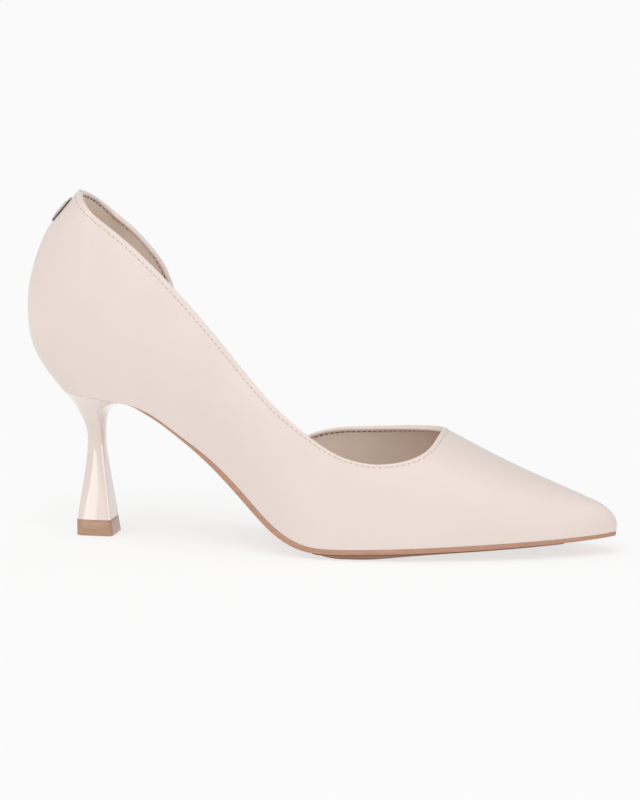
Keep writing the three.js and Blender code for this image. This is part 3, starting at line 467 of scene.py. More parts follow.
# -------- patches of the upper
def drawn(xi, side, draw):
    """The feather edge, drawn in under the sole."""
    p = skin(xi, 0.0, side)
    x, y = p[..., 0], p[..., 1]
    behind = xi < SEAT_X
    half = np.abs(y)
    keep = np.where(half > 0.01, np.maximum(1 - draw / np.maximum(half, 0.01), MARGIN_LEAST), 0)
    near_tip = (1 - np.clip(half / BALL_OUTER, 0, 1)) ** 2 * smoothstep(BALL_INNER_X, TOE_X, xi)
    back_x = SEAT_X - (SEAT_X - x) * (1 - draw / (SEAT_X - SEAT_BACK_X))
    new_x = np.where(behind, back_x, x - MARGIN_SLANT * draw * near_tip)
    new_y = np.where(behind, y * (1 - draw / SEAT_HALF), y * keep)
    return np.stack([new_x, new_y, feather(new_x)], -1)


def wall_grid(side, low_places, top_places, lower=0.0):
    """Points [column, row] from the end of the lasting margin, round the sole edge and up to the topline.
    lower keeps the last row this far below the topline."""
    low, top = np.asarray(low_places, float), np.asarray(top_places, float)
    roll = lerp(SEAT_ROLL, ROLL, smoothstep(ROLL_START_X, ROLL_FULL_X, low))
    rows = [drawn(low, side, lerp(MARGIN, roll, t)) for t in np.linspace(0, 1, MARGIN_ROWS)]
    for bend in np.linspace(0, math.pi / 2, ROLL_ROWS + 1)[1:]:
        height = roll * (1 - math.cos(bend))
        p = drawn(low, side, roll * (1 - math.sin(bend)))
        lean = skin(low, turn_at(low, height), side) - skin(low, 0.0, side)
        p[:, :2] += lean[:, :2]
        p[:, 2] += height
        rows.append(p)
    start = turn_at(low, roll)
    end = top_turn(top, side)
    length = np.linalg.norm(skin(top, end, side) - skin(low, start, side), axis=-1)
    room = lower * np.clip((THROAT_X - top) / THROAT_BLEND, 0, 1)
    reach = 1 - room / np.maximum(length, lower + 0.5)
    shares = [v * reach for v in np.linspace(0, 1, WALL_ROWS + 1)[1:-1]]
    shares += [reach - EDGE_ROW / np.maximum(length, 1.0), reach]
    for share in shares:
        rows.append(skin(lerp(low, top, share), lerp(start, end, share), side))
    return np.stack(rows, 1)


class Patch:
    """Quads on merged points, from grids of points [column, row]."""

    def __init__(self):
        self.points = []
        self.quads = []
        self.found = {}

    def add(self, grid, flip):
        ids = np.empty(grid.shape[:2], int)
        for i, column in enumerate(grid):
            for j, p in enumerate(column):
                key = tuple(np.round(p, 3) + 0.0)
                if key not in self.found:
                    self.found[key] = len(self.points)
                    self.points.append(p)
                ids[i, j] = self.found[key]
        quads = np.stack([ids[:-1, :-1], ids[1:, :-1], ids[1:, 1:], ids[:-1, 1:]], -1).reshape(-1, 4)
        self.quads.extend((quads[:, ::-1] if flip else quads).tolist())
        return ids

    def normals(self):
        points = np.array(self.points)
        quads = np.array(self.quads)
        p = points[quads]
        face = np.cross(p[:, 2] - p[:, 0], p[:, 3] - p[:, 1])
        total = np.zeros_like(points)
        for corner in range(4):
            np.add.at(total, quads[:, corner], face)
        return unit(total)


def clean(quad):
    """The face without repeated corners, or None if it has collapsed."""
    face = [v for k, v in enumerate(quad) if v != quad[k - 1]]
    return face if len(set(face)) == len(face) >= 3 else None


def add_object(name, data):
    made = bpy.data.objects.new(name, data)
    bpy.context.scene.collection.objects.link(made)
    return made


def make_object(name, points, faces, crease_angle=None):
    mesh = bpy.data.meshes.new(name)
    kept = [f for f in (clean(list(q)) for q in faces) if f]
    mesh.from_pydata(row(points).tolist(), [], kept)
    work = bmesh.new()
    work.from_mesh(mesh)
    bmesh.ops.remove_doubles(work, verts=work.verts, dist=1e-7)
    bmesh.ops.recalc_face_normals(work, faces=work.faces)
    work.to_mesh(mesh)
    work.free()
    mesh.shade_smooth()
    if crease_angle is not None:
        mesh.set_sharp_from_angle(angle=math.radians(crease_angle))
    return add_object(name, mesh)


def finish_piece(piece, material, slot, *nodes):
    piece.data.materials.clear()
    piece.data.materials.append(material)
    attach(piece, "root")
    if nodes:
        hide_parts(*nodes)
    return piece


def shell(name, patch, depth, thickness, turns=4):
    """A closed sheet under a patch, with rounded edges. depth is one number or one for each point."""
    normal = patch.normals()
    outer = np.array(patch.points) - normal * np.reshape(depth, (-1, 1))
    inner = outer - normal * thickness
    edges = {}
    for quad in patch.quads:
        for k in range(4):
            a, b = quad[k], quad[(k + 1) % 4]
            if a != b and edges.pop((b, a), None) is None:
                edges[(a, b)] = True
    beyond = np.zeros_like(outer)
    for a, b in edges:
        side = np.cross(unit(outer[b] - outer[a]), normal[a] + normal[b])
        beyond[a] += side
        beyond[b] += side
    beyond = unit(beyond)
    count = len(outer)
    points = [outer, inner]
    rim = sorted({v for edge in edges for v in edge})
    place = {v: i for i, v in enumerate(rim)}
    for k in range(1, turns):
        angle = math.pi * k / turns
        back = normal[rim] * (thickness / 2 * (1 - math.cos(angle)))
        points.append(outer[rim] - back + beyond[rim] * (thickness / 2 * math.sin(angle)))

    def level(v, k):
        if k == 0:
            return v
        if k == turns:
            return v + count
        return 2 * count + (k - 1) * len(rim) + place[v]

    faces = [list(q) for q in patch.quads] + [[v + count for v in q[::-1]] for q in patch.quads]
    for a, b in edges:
        for k in range(turns):
            faces.append([level(b, k), level(a, k), level(a, k + 1), level(b, k + 1)])
    return make_object(name, np.concatenate(points), faces)


def side_columns(start, side, end=THROAT_X, end_low=FAN_OUT_X):
    """The columns of one side: places at the feather edge and at the topline."""
    top = topline_places(start, end, side)
    return np.linspace(start, end_low, len(top)), top


def front_columns():
    """The columns ahead of the throat, closer together towards the toe."""
    t = np.linspace(0, 1, FRONT_COLUMNS + 1)
    pace = np.sin(t * math.pi / 2) * 0.6 + t * 0.4
    return lerp(FAN_OUT_X, TOE_X, pace), lerp(THROAT_X, TOE_X, pace)


outer_low, outer_top = side_columns(BACK_XI + SEAM, OUTER)
front_low, front_top = front_columns()
vamp_low, vamp_top = side_columns(CUT_FRONT_X, INNER)
quarter_low, quarter_top = side_columns(BACK_XI + SEAM, INNER, CUT_BACK_X, CUT_BACK_X)


def upper_patch(lower):
    """The outer side, the vamp front and the vamp's inner side; also the ids along the topline."""
    patch = Patch()
    outer = patch.add(wall_grid(OUTER, outer_low, outer_top, lower), False)
    patch.add(wall_grid(OUTER, front_low, front_top), False)
    patch.add(wall_grid(INNER, front_low, front_top), True)
    inner = patch.add(wall_grid(INNER, vamp_low, vamp_top, lower), True)
    edge = list(outer[:, -1]) + list(inner[::-1, -1])[1:]
    return patch, edge


def quarter_patch(lower):
    patch = Patch()
    inner = patch.add(wall_grid(INNER, quarter_low, quarter_top, lower), True)
    return patch, list(inner[::-1, -1])


def padding(points):
    """1 over the toe puff and the heel counter, 0 elsewhere."""
    x, y, z = points.T
    low = smoothstep(0, PUFF_RISE, z - feather(np.maximum(x, SEAT_BACK_X)))
    toe = smoothstep(PUFF_X - FADE, PUFF_X, x)
    end = np.where(y < 0, COUNTER_OUTER_X, COUNTER_INNER_X)
    high = 1 - smoothstep(COUNTER_THIN_Z, COUNTER_END_Z, z)
    heel = (1 - smoothstep(end, end + FADE, x)) * high
    return low * np.maximum(toe, heel)


def lining_depth(patch):
    return LEATHER + GAP + (STIFFENER + GAP) * padding(np.array(patch.points))


# -------- sweeps along the topline
def tube_faces(base, rings, sides):
    """Faces of a tube of rings with this many sides each, closed at both ends; base is its first point."""
    faces = []
    for i in range(rings - 1):
        for k in range(sides):
            a = base + i * sides + k
            b = base + i * sides + (k + 1) % sides
            faces.append([a, b, b + sides, a + sides])
    last = base + (rings - 1) * sides
    faces.append([base + k for k in range(sides)][::-1])
    faces.append([last + k for k in range(sides)])
    return faces


def edge_path(patch, edge):
    """Points, outward normals and directions out of the leather, in its plane, along an edge."""
    points = np.array(patch.points)[edge]
    normal = patch.normals()[edge]
    along = unit(np.gradient(points, axis=0))
    return points, normal, unit(np.cross(normal, along))


def sweep(name, path, profile):
    """A closed bar along a path; the profile is (out of the edge, outward) pairs."""
    points, normal, beyond = path
    profile = np.array(profile)
    rings = points[:, None] + profile[None, :, :1] * beyond[:, None] + profile[None, :, 1:] * normal[:, None]
    return make_object(name, rings.reshape(-1, 3), tube_faces(0, len(points), len(profile)))


def arc(centre, radius, start, end, count=EDGE_POINTS):
    angles = np.radians(np.linspace(start, end, count))
    return [(centre[0] + radius * math.cos(a), centre[1] + radius * math.sin(a)) for a in angles]


def fold_profile():
    """The leather turned over the topline and down inside over the lining."""
    inside = LEATHER + GAP + LINING + FOLD_CLEAR
    low_r = FOLD_THICK / 2
    return (
        [(-FOLD_SUNK, -0.02)]
        + arc((0, -TOP_ROLL), TOP_ROLL, 90, 0)
        + arc((0, -inside - FOLD_THICK + TOP_ROLL), TOP_ROLL, 0, -90)
        + arc((-FOLD + low_r, -inside - low_r), low_r, 270, 90)
        + [(-FOLD_SUNK, -inside)]
    )


# -------- stitching
# Distance of the stitching from the leather's edge, by x.
stitch_edge = Curve((0, 1.75), (40, 1.75), (80, 1.2), (112, 0.75), (141, 1.35))


def resample(points, spacing, start=0.0):
    length = lengths(points)
    at = np.arange(start, length[-1], spacing)
    return np.stack([np.interp(at, length, points[:, k]) for k in range(3)], -1)


def stitch_line(path, shell_piece, edge, depth):
    """Places, normals and directions of the stitches: edge below the topline, depth inside the leather."""
    points, guess, beyond = path
    tree = BVHTree.FromObject(shell_piece, bpy.context.evaluated_depsgraph_get())
    line = resample(points - beyond * np.reshape(edge, (-1, 1)), STITCH_PITCH, STITCH_PITCH * STITCH_START)
    places, normals = [], []
    for p in line:
        if p[2] < float(feather(p[0])) + STITCH_END:
            continue
        nearest = np.argmin(np.linalg.norm(points - p, axis=1))
        start = p + guess[nearest] * 1.5
        hit, normal, _, _ = tree.find_nearest(Vector(row(start)))
        places.append(np.array(hit) * 1000 - ORIGIN - np.array(normal) * depth)
        normals.append(np.array(normal))
    places, normals = np.array(places), np.array(normals)
    return places, normals, unit(np.gradient(places, axis=0))


def stitches(name, line, length, radius, out):
    """One low arched bead of thread per stitch, its ends sunk in the leather."""
    points, faces = [], []
    for place, normal, along in zip(*line):
        across = np.cross(normal, along)
        base = len(points)
        for i in range(STITCH_RINGS):
            t = i / (STITCH_RINGS - 1) * 2 - 1
            r = radius * math.sqrt(max(0.0, 1 - t**4)) + 0.01
            centre = place + along * (t * length / 2) + normal * (out * (1 - 1.6 * t * t))
            for k in range(STITCH_SIDES):
                a = 2 * math.pi * k / STITCH_SIDES
                points.append(centre + across * (r * math.cos(a)) + normal * (r * math.sin(a)))
        faces += tube_faces(base, STITCH_RINGS, STITCH_SIDES)
    return make_object(name, points, faces)


# -------- sheets along the sole
def board_bottom(x):
    return feather(x) + LEATHER + GAP + LINING + GAP


def foam_bottom(x):
    return board_bottom(x) + BOARD + GAP


def foam_top(x):
    return foam_bottom(x) + FOAM


def sock_top(x):
    return foam_top(x) + GAP + SOCK


def sole_top(x):
    return feather(x) + SOLE_UP


sole_thickness = Curve(
    (BREAST_X, SEAT_SOLE), (40, SEAT_SOLE + 0.3), (56, WAIST_SOLE), (74, WAIST_SOLE + 0.2),
    (TREAD_X, SOLE + 0.2), (TREAD_X + 15, SOLE), (150, SOLE), (TOE_X, TOE_SOLE),
)


def sole_bottom(x):
    """The sole thins out to nothing over SOLE_FEATHER, where it meets the heel."""
    full = smoothstep(BREAST_X, BREAST_X + SOLE_FEATHER, x)
    return feather(x) - lerp(0.05, GAP + sole_thickness(x), full)


tread_rise = Curve(
    (TREAD_FLAT_END_X, 0), (119, 0.2), (125, 0.75), (136, 1.75), (153, 2.9), (174, 4.2), (TREAD_END_X, 5.3)
)


def tread_top(x):
    return sole_bottom(x) - 0.02


def tread_bottom(x):
    """The tread rolls down to the ground behind the ball and rises again towards the toe."""
    back = TREAD_ROLL * np.clip((TREAD_GROUND_X - x) / (TREAD_GROUND_X - TREAD_X), 0, 1) ** TREAD_CURL
    return np.where(x <= TREAD_FLAT_END_X, back, tread_rise(x))


def stations(start, end):
    """Places of the sections along the sole, closer together at both ends."""
    count = max(4, round((end - start) / STATION))
    t = np.linspace(0, 1, count + 1)
    return lerp(start, end, t - np.sin(2 * math.pi * t) / (2 * math.pi) * 0.75)


def corner_arc(x, y, z, r, start, end, count):
    return [(x, *p) for p in arc((y, z), r, start, end, count)]


def slab_ring(x, left, right, low, high, edge, bevel, crown_up):
    """One section of a slab, from left to right and from low to high."""
    r = min(edge, (high - low) * 0.49, (right - left) * 0.2)
    low_left, low_right = left + bevel, right - bevel
    ring = []
    for k in range(ACROSS):
        t = k / (ACROSS - 1)
        ring.append((x, lerp(right - r, left + r, t), high + crown_up * (1 - (2 * t - 1) ** 2)))
    ring += corner_arc(x, left + r, high - r, r, 120, 180, 3)
    ring += corner_arc(x, low_left + r, low + r, r, 180, 270, 4)
    for k in range(1, ACROSS - 1):
        ring.append((x, lerp(low_left + r, low_right - r, k / (ACROSS - 1)), low))
    ring += corner_arc(x, low_right - r, low + r, r, 270, 360, 4)
    ring += corner_arc(x, right - r, high - r, r, 0, 60, 3)
    return ring


def slab(name, xs, inset, top, bottom, edge, bevel=0.0, crown_up=0.0):
    """A closed sheet along the sole, its edges rounded by edge and its lower side drawn in by bevel."""
    rings = []
    for x in xs:
        left = min(-half_width(x, OUTER, inset), -SLAB_LEAST)
        right = max(half_width(x, INNER, inset), SLAB_LEAST)
        rings.append(slab_ring(x, left, right, float(bottom(x)), float(top(x)), edge, bevel, crown_up))
    return make_object(name, *loft(rings), SHEET_CREASE)


def loft(rings):
    """Points and faces through rings of equal count, closed by a flat fan at both ends."""
    return [p for ring in rings for p in ring], tube_faces(0, len(rings), len(rings[0]))


# -------- sock: top, rounded edge and wrapped side
def sock_ring(x, inset):
    """One section of the sock's outside, from its outer to its inner side."""
    left = -max(float(half_width(x, OUTER, inset)), SOCK_LEAST)
    right = max(float(half_width(x, INNER, inset)), SOCK_LEAST)
    top = float(sock_top(x))
    floor = float(board_bottom(x)) + SUNK
    after_quarter = smoothstep(CUT_BACK_X - ARCH_LAP, CUT_BACK_X, x)
    before_vamp = 1 - smoothstep(CUT_FRONT_X, CUT_FRONT_X + ARCH_LAP, x)
    deep = lerp(floor, float(feather(x)) + SOCK_OVER_SOLE, float(after_quarter * before_vamp))
    r = min(SOCK_R, (right - left) * 0.3)
    ring = [(x, left, floor)]
    ring += corner_arc(x, left + r, top - r, r, 180, 90, EDGE_POINTS)
    for t in np.linspace(0, 1, ACROSS)[1:-1]:
        ring.append((x, lerp(left + r, right - r, t), top - SOCK_CROWN * (1 - (2 * t - 1) ** 2)))
    ring += corner_arc(x, right - r, top - r, r, 90, 0, EDGE_POINTS)
    ring.append((x, right, deep))
    return ring


def sock_piece():
    """The sock, with its edge wrapped down over the board; it reaches the sole where the arch is open."""
    xs = stations(SEAT_BACK_X + INSOLE_INSET + 0.05, TOE_X - SOCK_SHORT)
    patch = Patch()
    patch.add(np.array([sock_ring(x, INSOLE_INSET - SOCK_SPREAD) for x in xs]), True)
    return shell("sock", patch, 0.0, SOCK_SKIN)


# -------- heel
# By height: half width, and how square the corners are; 2 is round.
heel_half = Curve(
    (LIFT, LIFT_TOP_HALF - 0.1), (15, 6.15), (23, 5.1), (31, 4.2), (NECK_Z, NECK_HALF), (FLARE_Z, NECK_HALF)
)
front_corner = Curve((LIFT, 20), (23, 12), (31, 7), (NECK_Z, 4))
back_corner = Curve((LIFT, 7), (15, 5), (23, 3.4), (NECK_Z, 2.2))


def ring_points(middle, back, front, half, corners, height, chamfer=None):
    """A rounded square or oval, with its own reach to the back, front and side; corners says how square
    its front and its back are. chamfer cuts the two front corners flat, facing CHAMFER_ANGLE from +X."""
    cut_x, cut_y = math.cos(CHAMFER_ANGLE), math.sin(CHAMFER_ANGLE)
    corner_at = 0.5 ** (1 / corners[0])
    cut = -1.0 if chamfer is None else chamfer / half
    ring = []
    for i in range(HEEL_SIDES):
        a = 2 * math.pi * (i + 0.5) / HEEL_SIDES
        c, s = math.cos(a), math.sin(a)
        power = 2 / (corners[0] if c > 0 else corners[1])
        along, across = abs(c) ** power, abs(s) ** power
        if c > 0:
            beyond = max(0.0, (along - corner_at) * cut_x + (across - corner_at) * cut_y + cut)
            along, across = along - beyond * cut_x, across - beyond * cut_y
        x = middle + (front if c > 0 else back) * math.copysign(along, c)
        y = half * math.copysign(across, s)
        ring.append((x, y, float(height(x))))
    return ring


def stem_ring(z):
    """A section of the heel below the neck."""
    half = float(heel_half(z))
    corners = float(front_corner(z)), float(back_corner(z))
    return ring_points(HEEL_AXIS_X, half, half, half, corners, lambda x: z, HEEL_CHAMFER)


def seat_ring(s):
    """A section of the heel from the neck, where s is 0, to the slanting seat, where it is 1."""
    middle = lerp(HEEL_AXIS_X, SEAT_X, s)
    back_x = lerp(HEEL_AXIS_X - NECK_HALF, SEAT_BACK_X, s**SPREAD_BACK)
    front_x = lerp(HEEL_AXIS_X + NECK_HALF, BREAST_X, s**SPREAD_FRONT)
    half = lerp(NECK_HALF, SEAT_HALF, s**SPREAD_SIDE)
    if s < 0.5:
        breast = lerp(float(front_corner(NECK_Z)), BREAST_ROUND, s * 2)
    else:
        breast = lerp(BREAST_ROUND, BREAST_SQUARE, (s * 2 - 1) ** 2)
    corners = breast, lerp(float(back_corner(NECK_Z)), 2, s)

    def height(x):
        return lerp(FLARE_Z, float(feather(x)) - 0.02, s)

    return ring_points(middle, middle - back_x, front_x - middle, half, corners, height)


def heel_piece():
    rings = [stem_ring(z) for z in np.linspace(LIFT + 0.12, NECK_Z, NECK_RINGS)]
    rings += [seat_ring(i / SEAT_RINGS) for i in range(1, SEAT_RINGS + 1)]
    return make_object("heel", *loft(rings), HEEL_CREASE)


def lift_ring(half, z, lean):
    corners = LIFT_CORNER, float(back_corner(LIFT))
    return ring_points(HEEL_AXIS_X + lean, half, half, half, corners, lambda x: z)


def lift_piece():
    sections = (
        (LIFT_HALF - LIFT_ROUND, 0.0, LIFT_LEAN),
        (LIFT_HALF - 0.15, 0.12, LIFT_LEAN),
        (LIFT_HALF, LIFT_ROUND, LIFT_LEAN),
        (lerp(LIFT_HALF, LIFT_TOP_HALF, 0.5), LIFT / 2, LIFT_LEAN / 2),
        (LIFT_TOP_HALF, LIFT - LIFT_EDGE, 0.0),
        (LIFT_TOP_HALF - 0.1, LIFT, 0.0),
    )
    return make_object("heel_tip", *loft([lift_ring(*section) for section in sections]), LIFT_CREASE)


# -------- trim bar
def back_point(height, rise):
    """A point over the centre back, by height above the seat and rise off the leather; with its normal."""
    d = 0.05
    slope = float(back_reach(height + d) - back_reach(height - d)) / (2 * d)
    normal = np.array([-1.0, 0.0, -slope]) / math.hypot(1, slope)
    point = np.array([SEAT_X - float(back_reach(height)), 0.0, SEAT_BACK_Z + height])
    return point + normal * rise, normal


def bar_heights(count):
    """Heights evenly spaced along the bar, from its upper to its lower end."""
    top = COUNTER_Z - SEAT_BACK_Z - BAR_BELOW
    heights = np.linspace(top, top - BAR_LENGTH * 1.2, 400)
    points = np.array([back_point(h, 0)[0] for h in heights])
    length = lengths(points)
    return np.interp(np.linspace(0, BAR_LENGTH, count), length, heights)


def bar_section(height, low, thick, half, flat=0.35):
    """A rounded cross section of the bar, from low to low + thick off the leather."""
    p, n = back_point(height, low + thick / 2)
    ring = []
    for k in range(BAR_SIDES):
        a = 2 * math.pi * k / BAR_SIDES
        c, s = math.cos(a), math.sin(a)
        y = half * math.copysign(abs(c) ** flat, c)
        ring.append(p + np.array([0, y, 0]) + n * (thick / 2 * math.copysign(abs(s) ** 0.8, s)))
    return ring


def bar_thickness(share):
    """Full in the middle of the bar and sloping down to its two ends; share is -1 to 1 along it."""
    return lerp(BAR_FULL, BAR_END, float(smoothstep(BAR_FULL_SHARE, 1.0, abs(share))))


def bar_half(share):
    narrowed = max(0.0, (abs(share) - BAR_NARROW_SHARE) / (1 - BAR_NARROW_SHARE)) ** 2
    return BAR_WIDTH / 2 * (1 - narrowed * BAR_NARROW)


def stud(height, share, base):
    """Points and faces of a low dome on the bar; base is the number of its first point."""
    p, n = back_point(height, BAR_SHADOW_PAD + bar_thickness(share) - SUNK)
    up = np.cross(n, [0, 1, 0])
    points = []
    for i in range(STUD_ROWS):
        a = math.pi / 2 * i / STUD_ROWS
        for k in range(STUD_SIDES):
            b = 2 * math.pi * k / STUD_SIDES
            flat = np.array([0, 1, 0]) * math.cos(b) + up * math.sin(b)
            points.append(p + flat * (STUD_R * math.cos(a)) + n * (STUD_RISE * math.sin(a)))
    points.append(p + n * STUD_RISE)
    faces = tube_faces(base, STUD_ROWS, STUD_SIDES)[:-1]  # open at the top
    last = base + (STUD_ROWS - 1) * STUD_SIDES
    top = base + STUD_ROWS * STUD_SIDES
    faces += [[last + k, last + (k + 1) % STUD_SIDES, top] for k in range(STUD_SIDES)]
    return points, faces


def trim_studs():
    places = BAR_STUDS * 2 + 1
    points, faces = [], []
    for height, share in list(zip(bar_heights(places), np.linspace(-1, 1, places)))[1::2]:
        new_points, new_faces = stud(height, share, len(points))
        points += new_points
        faces += new_faces
    return make_object("trim_studs", points, faces, STUD_CREASE)


def trim_pieces():
    """The bar, the dark pad under it, whose colour is painted shadow of the bar, and the studs on it."""
    shares = np.linspace(-1, 1, BAR_RINGS)
    bar_rings, shadow_pad_rings = [], []
    for height, share in zip(bar_heights(BAR_RINGS), shares):
        half = bar_half(share)
        bar_rings.append(bar_section(height, BAR_SHADOW_PAD, bar_thickness(share), half))
        shadow_pad_rings.append(bar_section(height, 0.0, BAR_SHADOW_PAD + 0.02, half - 0.1))
    bar = make_object("trim_bar", *loft(bar_rings), SHEET_CREASE)
    # the dark pad is painted shadow of the bar on the leather
    pad = make_object("trim_painted_shadow", *loft(shadow_pad_rings), SHEET_CREASE)
    return bar, pad, trim_studs()


# -------- materials
class Finish:
    """A principled material with procedural colour variation and bump, in object space."""

    def __init__(self, name, colour, roughness, **sockets):
        self.material = bpy.data.materials.new(name)
        self.material.use_nodes = True
        self.tree = self.material.node_tree
        self.shader = self.tree.nodes["Principled BSDF"]
        self.set("Base Color", (*colour, 1.0))
        self.set("Roughness", roughness)
        for label, value in sockets.items():
            self.set(label.replace("_", " "), value)
        self.place = self.node("ShaderNodeTexCoord").outputs["Object"]
        self.bump = None

    def set(self, socket, value):
        self.shader.inputs[socket].default_value = value

    def node(self, kind, **values):
        made = self.tree.nodes.new(kind)
        for label, value in values.items():
            if label in made.inputs:
                made.inputs[label].default_value = value
            else:
                setattr(made, label, value)
        return made

    def link(self, source, target):
        self.tree.links.new(source, target)

    def noise(self, size_mm, detail=3.0, stretch=(1, 1, 1)):
        mapping = self.node("ShaderNodeMapping", Scale=stretch)
        self.link(self.place, mapping.inputs["Vector"])
        made = self.node("ShaderNodeTexNoise", Scale=1000.0 / size_mm, Detail=detail)
        self.link(mapping.outputs["Vector"], made.inputs["Vector"])
        return made.outputs["Fac"]

    def cells(self, size_mm):
        made = self.node("ShaderNodeTexVoronoi", Scale=1000.0 / size_mm, feature="F1")
        self.link(self.place, made.inputs["Vector"])
        return made.outputs["Distance"]

    def vary(self, source, low, high, dark, light):
        """Colour from dark to light as source goes from low to high."""
        ramp = self.node("ShaderNodeValToRGB")
        for element, position, colour in zip(ramp.color_ramp.elements, (low, high), (dark, light)):
            element.position = position
            element.color = (*colour, 1)
        self.link(source, ramp.inputs["Fac"])
        self.link(ramp.outputs["Color"], self.shader.inputs["Base Color"])

    def vary_roughness(self, source, low, high):
        spread = self.node("ShaderNodeMapRange")
        spread.inputs["To Min"].default_value = low
        spread.inputs["To Max"].default_value = high
        self.link(source, spread.inputs["Value"])
        self.link(spread.outputs["Result"], self.shader.inputs["Roughness"])

    def add_bump(self, source, height_mm, strength=1.0):
        made = self.node("ShaderNodeBump", Strength=strength, Distance=height_mm / 1000.0)
        self.link(source, made.inputs["Height"])
        if self.bump is not None:
            self.link(self.bump, made.inputs["Normal"])
        self.bump = made.outputs["Normal"]
        self.link(self.bump, self.shader.inputs["Normal"])


def shade(colour, factor):
    return tuple(min(1.0, c * factor) for c in colour)


def leather_finish():
    finish = Finish("satin_leather", NUDE, 0.42, Coat_Weight=0.25, Coat_Roughness=0.3, Sheen_Weight=0.08)
    finish.vary(finish.noise(35, 4), 0.25, 0.75, shade(NUDE, 0.975), shade(NUDE, 1.015))
    finish.vary_roughness(finish.noise(6, 3), 0.38, 0.46)
    finish.add_bump(finish.cells(0.55), 0.018, 0.6)
    finish.add_bump(finish.noise(0.9, 5), 0.02, 0.5)
    return finish.material


def lining_finish(name="lining_leather", colour=LINING_TONE):
    finish = Finish(name, colour, 0.68, Sheen_Weight=0.15)
    finish.vary(finish.noise(18, 5), 0.25, 0.75, shade(colour, 0.93), shade(colour, 1.05))
    finish.add_bump(finish.cells(0.45), 0.02, 0.6)
    finish.add_bump(finish.noise(14, 2), 0.25, 0.5)
    return finish.material


def lacquer_finish():
    finish = Finish("heel_lacquer", LACQUER, 0.16, Coat_Weight=1.0, Coat_Roughness=0.02)
    finish.set("Specular IOR Level", 0.6)
    finish.vary(finish.noise(12, 2), 0.3, 0.7, shade(LACQUER, 0.985), shade(LACQUER, 1.01))
    finish.add_bump(finish.noise(5, 2), 0.01, 0.3)
    return finish.material


def edge_finish(name, colour, roughness=0.5, coat=0.0):
    """Sole edge and heel tip: fine lines along the length and faint mottling."""
    finish = Finish(name, colour, roughness, Coat_Weight=coat, Coat_Roughness=0.15)
    finish.vary(finish.noise(1.2, 4, (0.15, 0.15, 2.5)), 0.3, 0.7, shade(colour, 0.86), shade(colour, 1.1))
    finish.add_bump(finish.noise(0.5, 3, (0.1, 0.1, 2.0)), 0.02, 0.5)
    return finish.material


def thread_finish(name, colour):
    finish = Finish(name, colour, 0.7, Sheen_Weight=0.2)
    finish.vary(finish.noise(0.5, 2), 0.3, 0.7, shade(colour, 0.9), shade(colour, 1.08))
    finish.add_bump(finish.noise(0.12, 2), 0.02, 0.6)
    return finish.material


def metal_finish(name, colour, roughness):
    finish = Finish(name, colour, roughness, Metallic=1.0)
    finish.vary(finish.noise(3, 3), 0.3, 0.7, shade(colour, 0.93), shade(colour, 1.04))
    finish.vary_roughness(finish.noise(1.5, 3), roughness * 0.8, roughness * 1.3)
    return finish.material


def board_finish(name, colour, size_mm, height_mm):
    finish = Finish(name, colour, 0.9)
    finish.vary(finish.noise(size_mm, 5), 0.3, 0.7, shade(colour, 0.85), shade(colour, 1.1))
    finish.add_bump(finish.noise(size_mm * 0.4, 4), height_mm, 0.6)
    return finish.material


leather = leather_finish()
lining = lining_finish()
sock_leather = lining_finish("sock_leather", SOCK_TONE)
lacquer = lacquer_finish()
sole_edge = edge_finish("sole_edge", TAN, 0.5)
# the tread's darker tan is painted shade of the sole edge's lower band
tread_rubber_painted_shade = edge_finish("tread_rubber_painted_shade", shade(TAN, TREAD_PAINTED_SHADE), 0.6)
tip_rubber = edge_finish("tip_rubber", TIP_TAN, 0.35, 0.5)
thread = thread_finish("thread", shade(NUDE, THREAD_SHADE))
inner_thread = thread_finish("inner_thread", DARK_THREAD)
# painted shade in the needle holes
hole_painted_shade = thread_finish("hole_painted_shade", HOLE_PAINTED_SHADE)
trim_metal = metal_finish("trim_metal", PALE_METAL, 0.28)
# painted shadow: the dark pad under the trim bar
trim_painted_shadow = board_finish("trim_painted_shadow", BAR_PAINTED_SHADOW, 0.5, 0.02)
steel = metal_finish("steel", STEEL, 0.35)
stiffener = board_finish("stiffener", FIBRE, 1.2, 0.05)
board = board_finish("insole_board", BOARD_BROWN, 0.8, 0.04)
foam = board_finish("foam", FOAM_TONE, 0.6, 0.08)
filler = board_finish("filler", CORK, 1.5, 0.1)


# -------- the pieces
def add_stitching(name, piece, path, node):
    """Outer stitches with dark beads between them as painted shade in the needle holes, and the darker
    stitches inside below the fold.
    """
    line = stitch_line(path, piece, stitch_edge(path[0][:, 0]), 0.0)
    made = stitches(name + "_stitches", line, STITCH_LENGTH, STITCH_R, STITCH_OUT)
    finish_piece(made, thread, "thread", node)

    places, normals, along = line
    between = (places[:-1] + along[:-1] * (STITCH_PITCH / 2), normals[:-1], along[:-1])
    # dark beads between the stitches: painted shade in the needle holes
    holes = stitches(name + "_painted_hole_shade", between, HOLE_LENGTH, HOLE_R, HOLE_OUT)
    finish_piece(holes, hole_painted_shade, "thread")

    inside = stitch_line(path, piece, INNER_STITCH_EDGE, LEATHER + GAP + LINING)
    made = stitches(name + "_inner_stitches", inside, STITCH_LENGTH, INNER_STITCH_R, INNER_STITCH_OUT)
    finish_piece(made, inner_thread, "thread")


def build_sheet(name, fold_name, node, patch, edge):
    """A leather sheet with its folded topline, and the path of its edge for the stitching."""
    sheet = shell(name, patch, 0.0, LEATHER)
    finish_piece(sheet, leather, "upper_leather", node)
    path = edge_path(patch, edge)
    finish_piece(sweep(fold_name, path, fold_profile()), leather, "upper_leather")
    return sheet, path


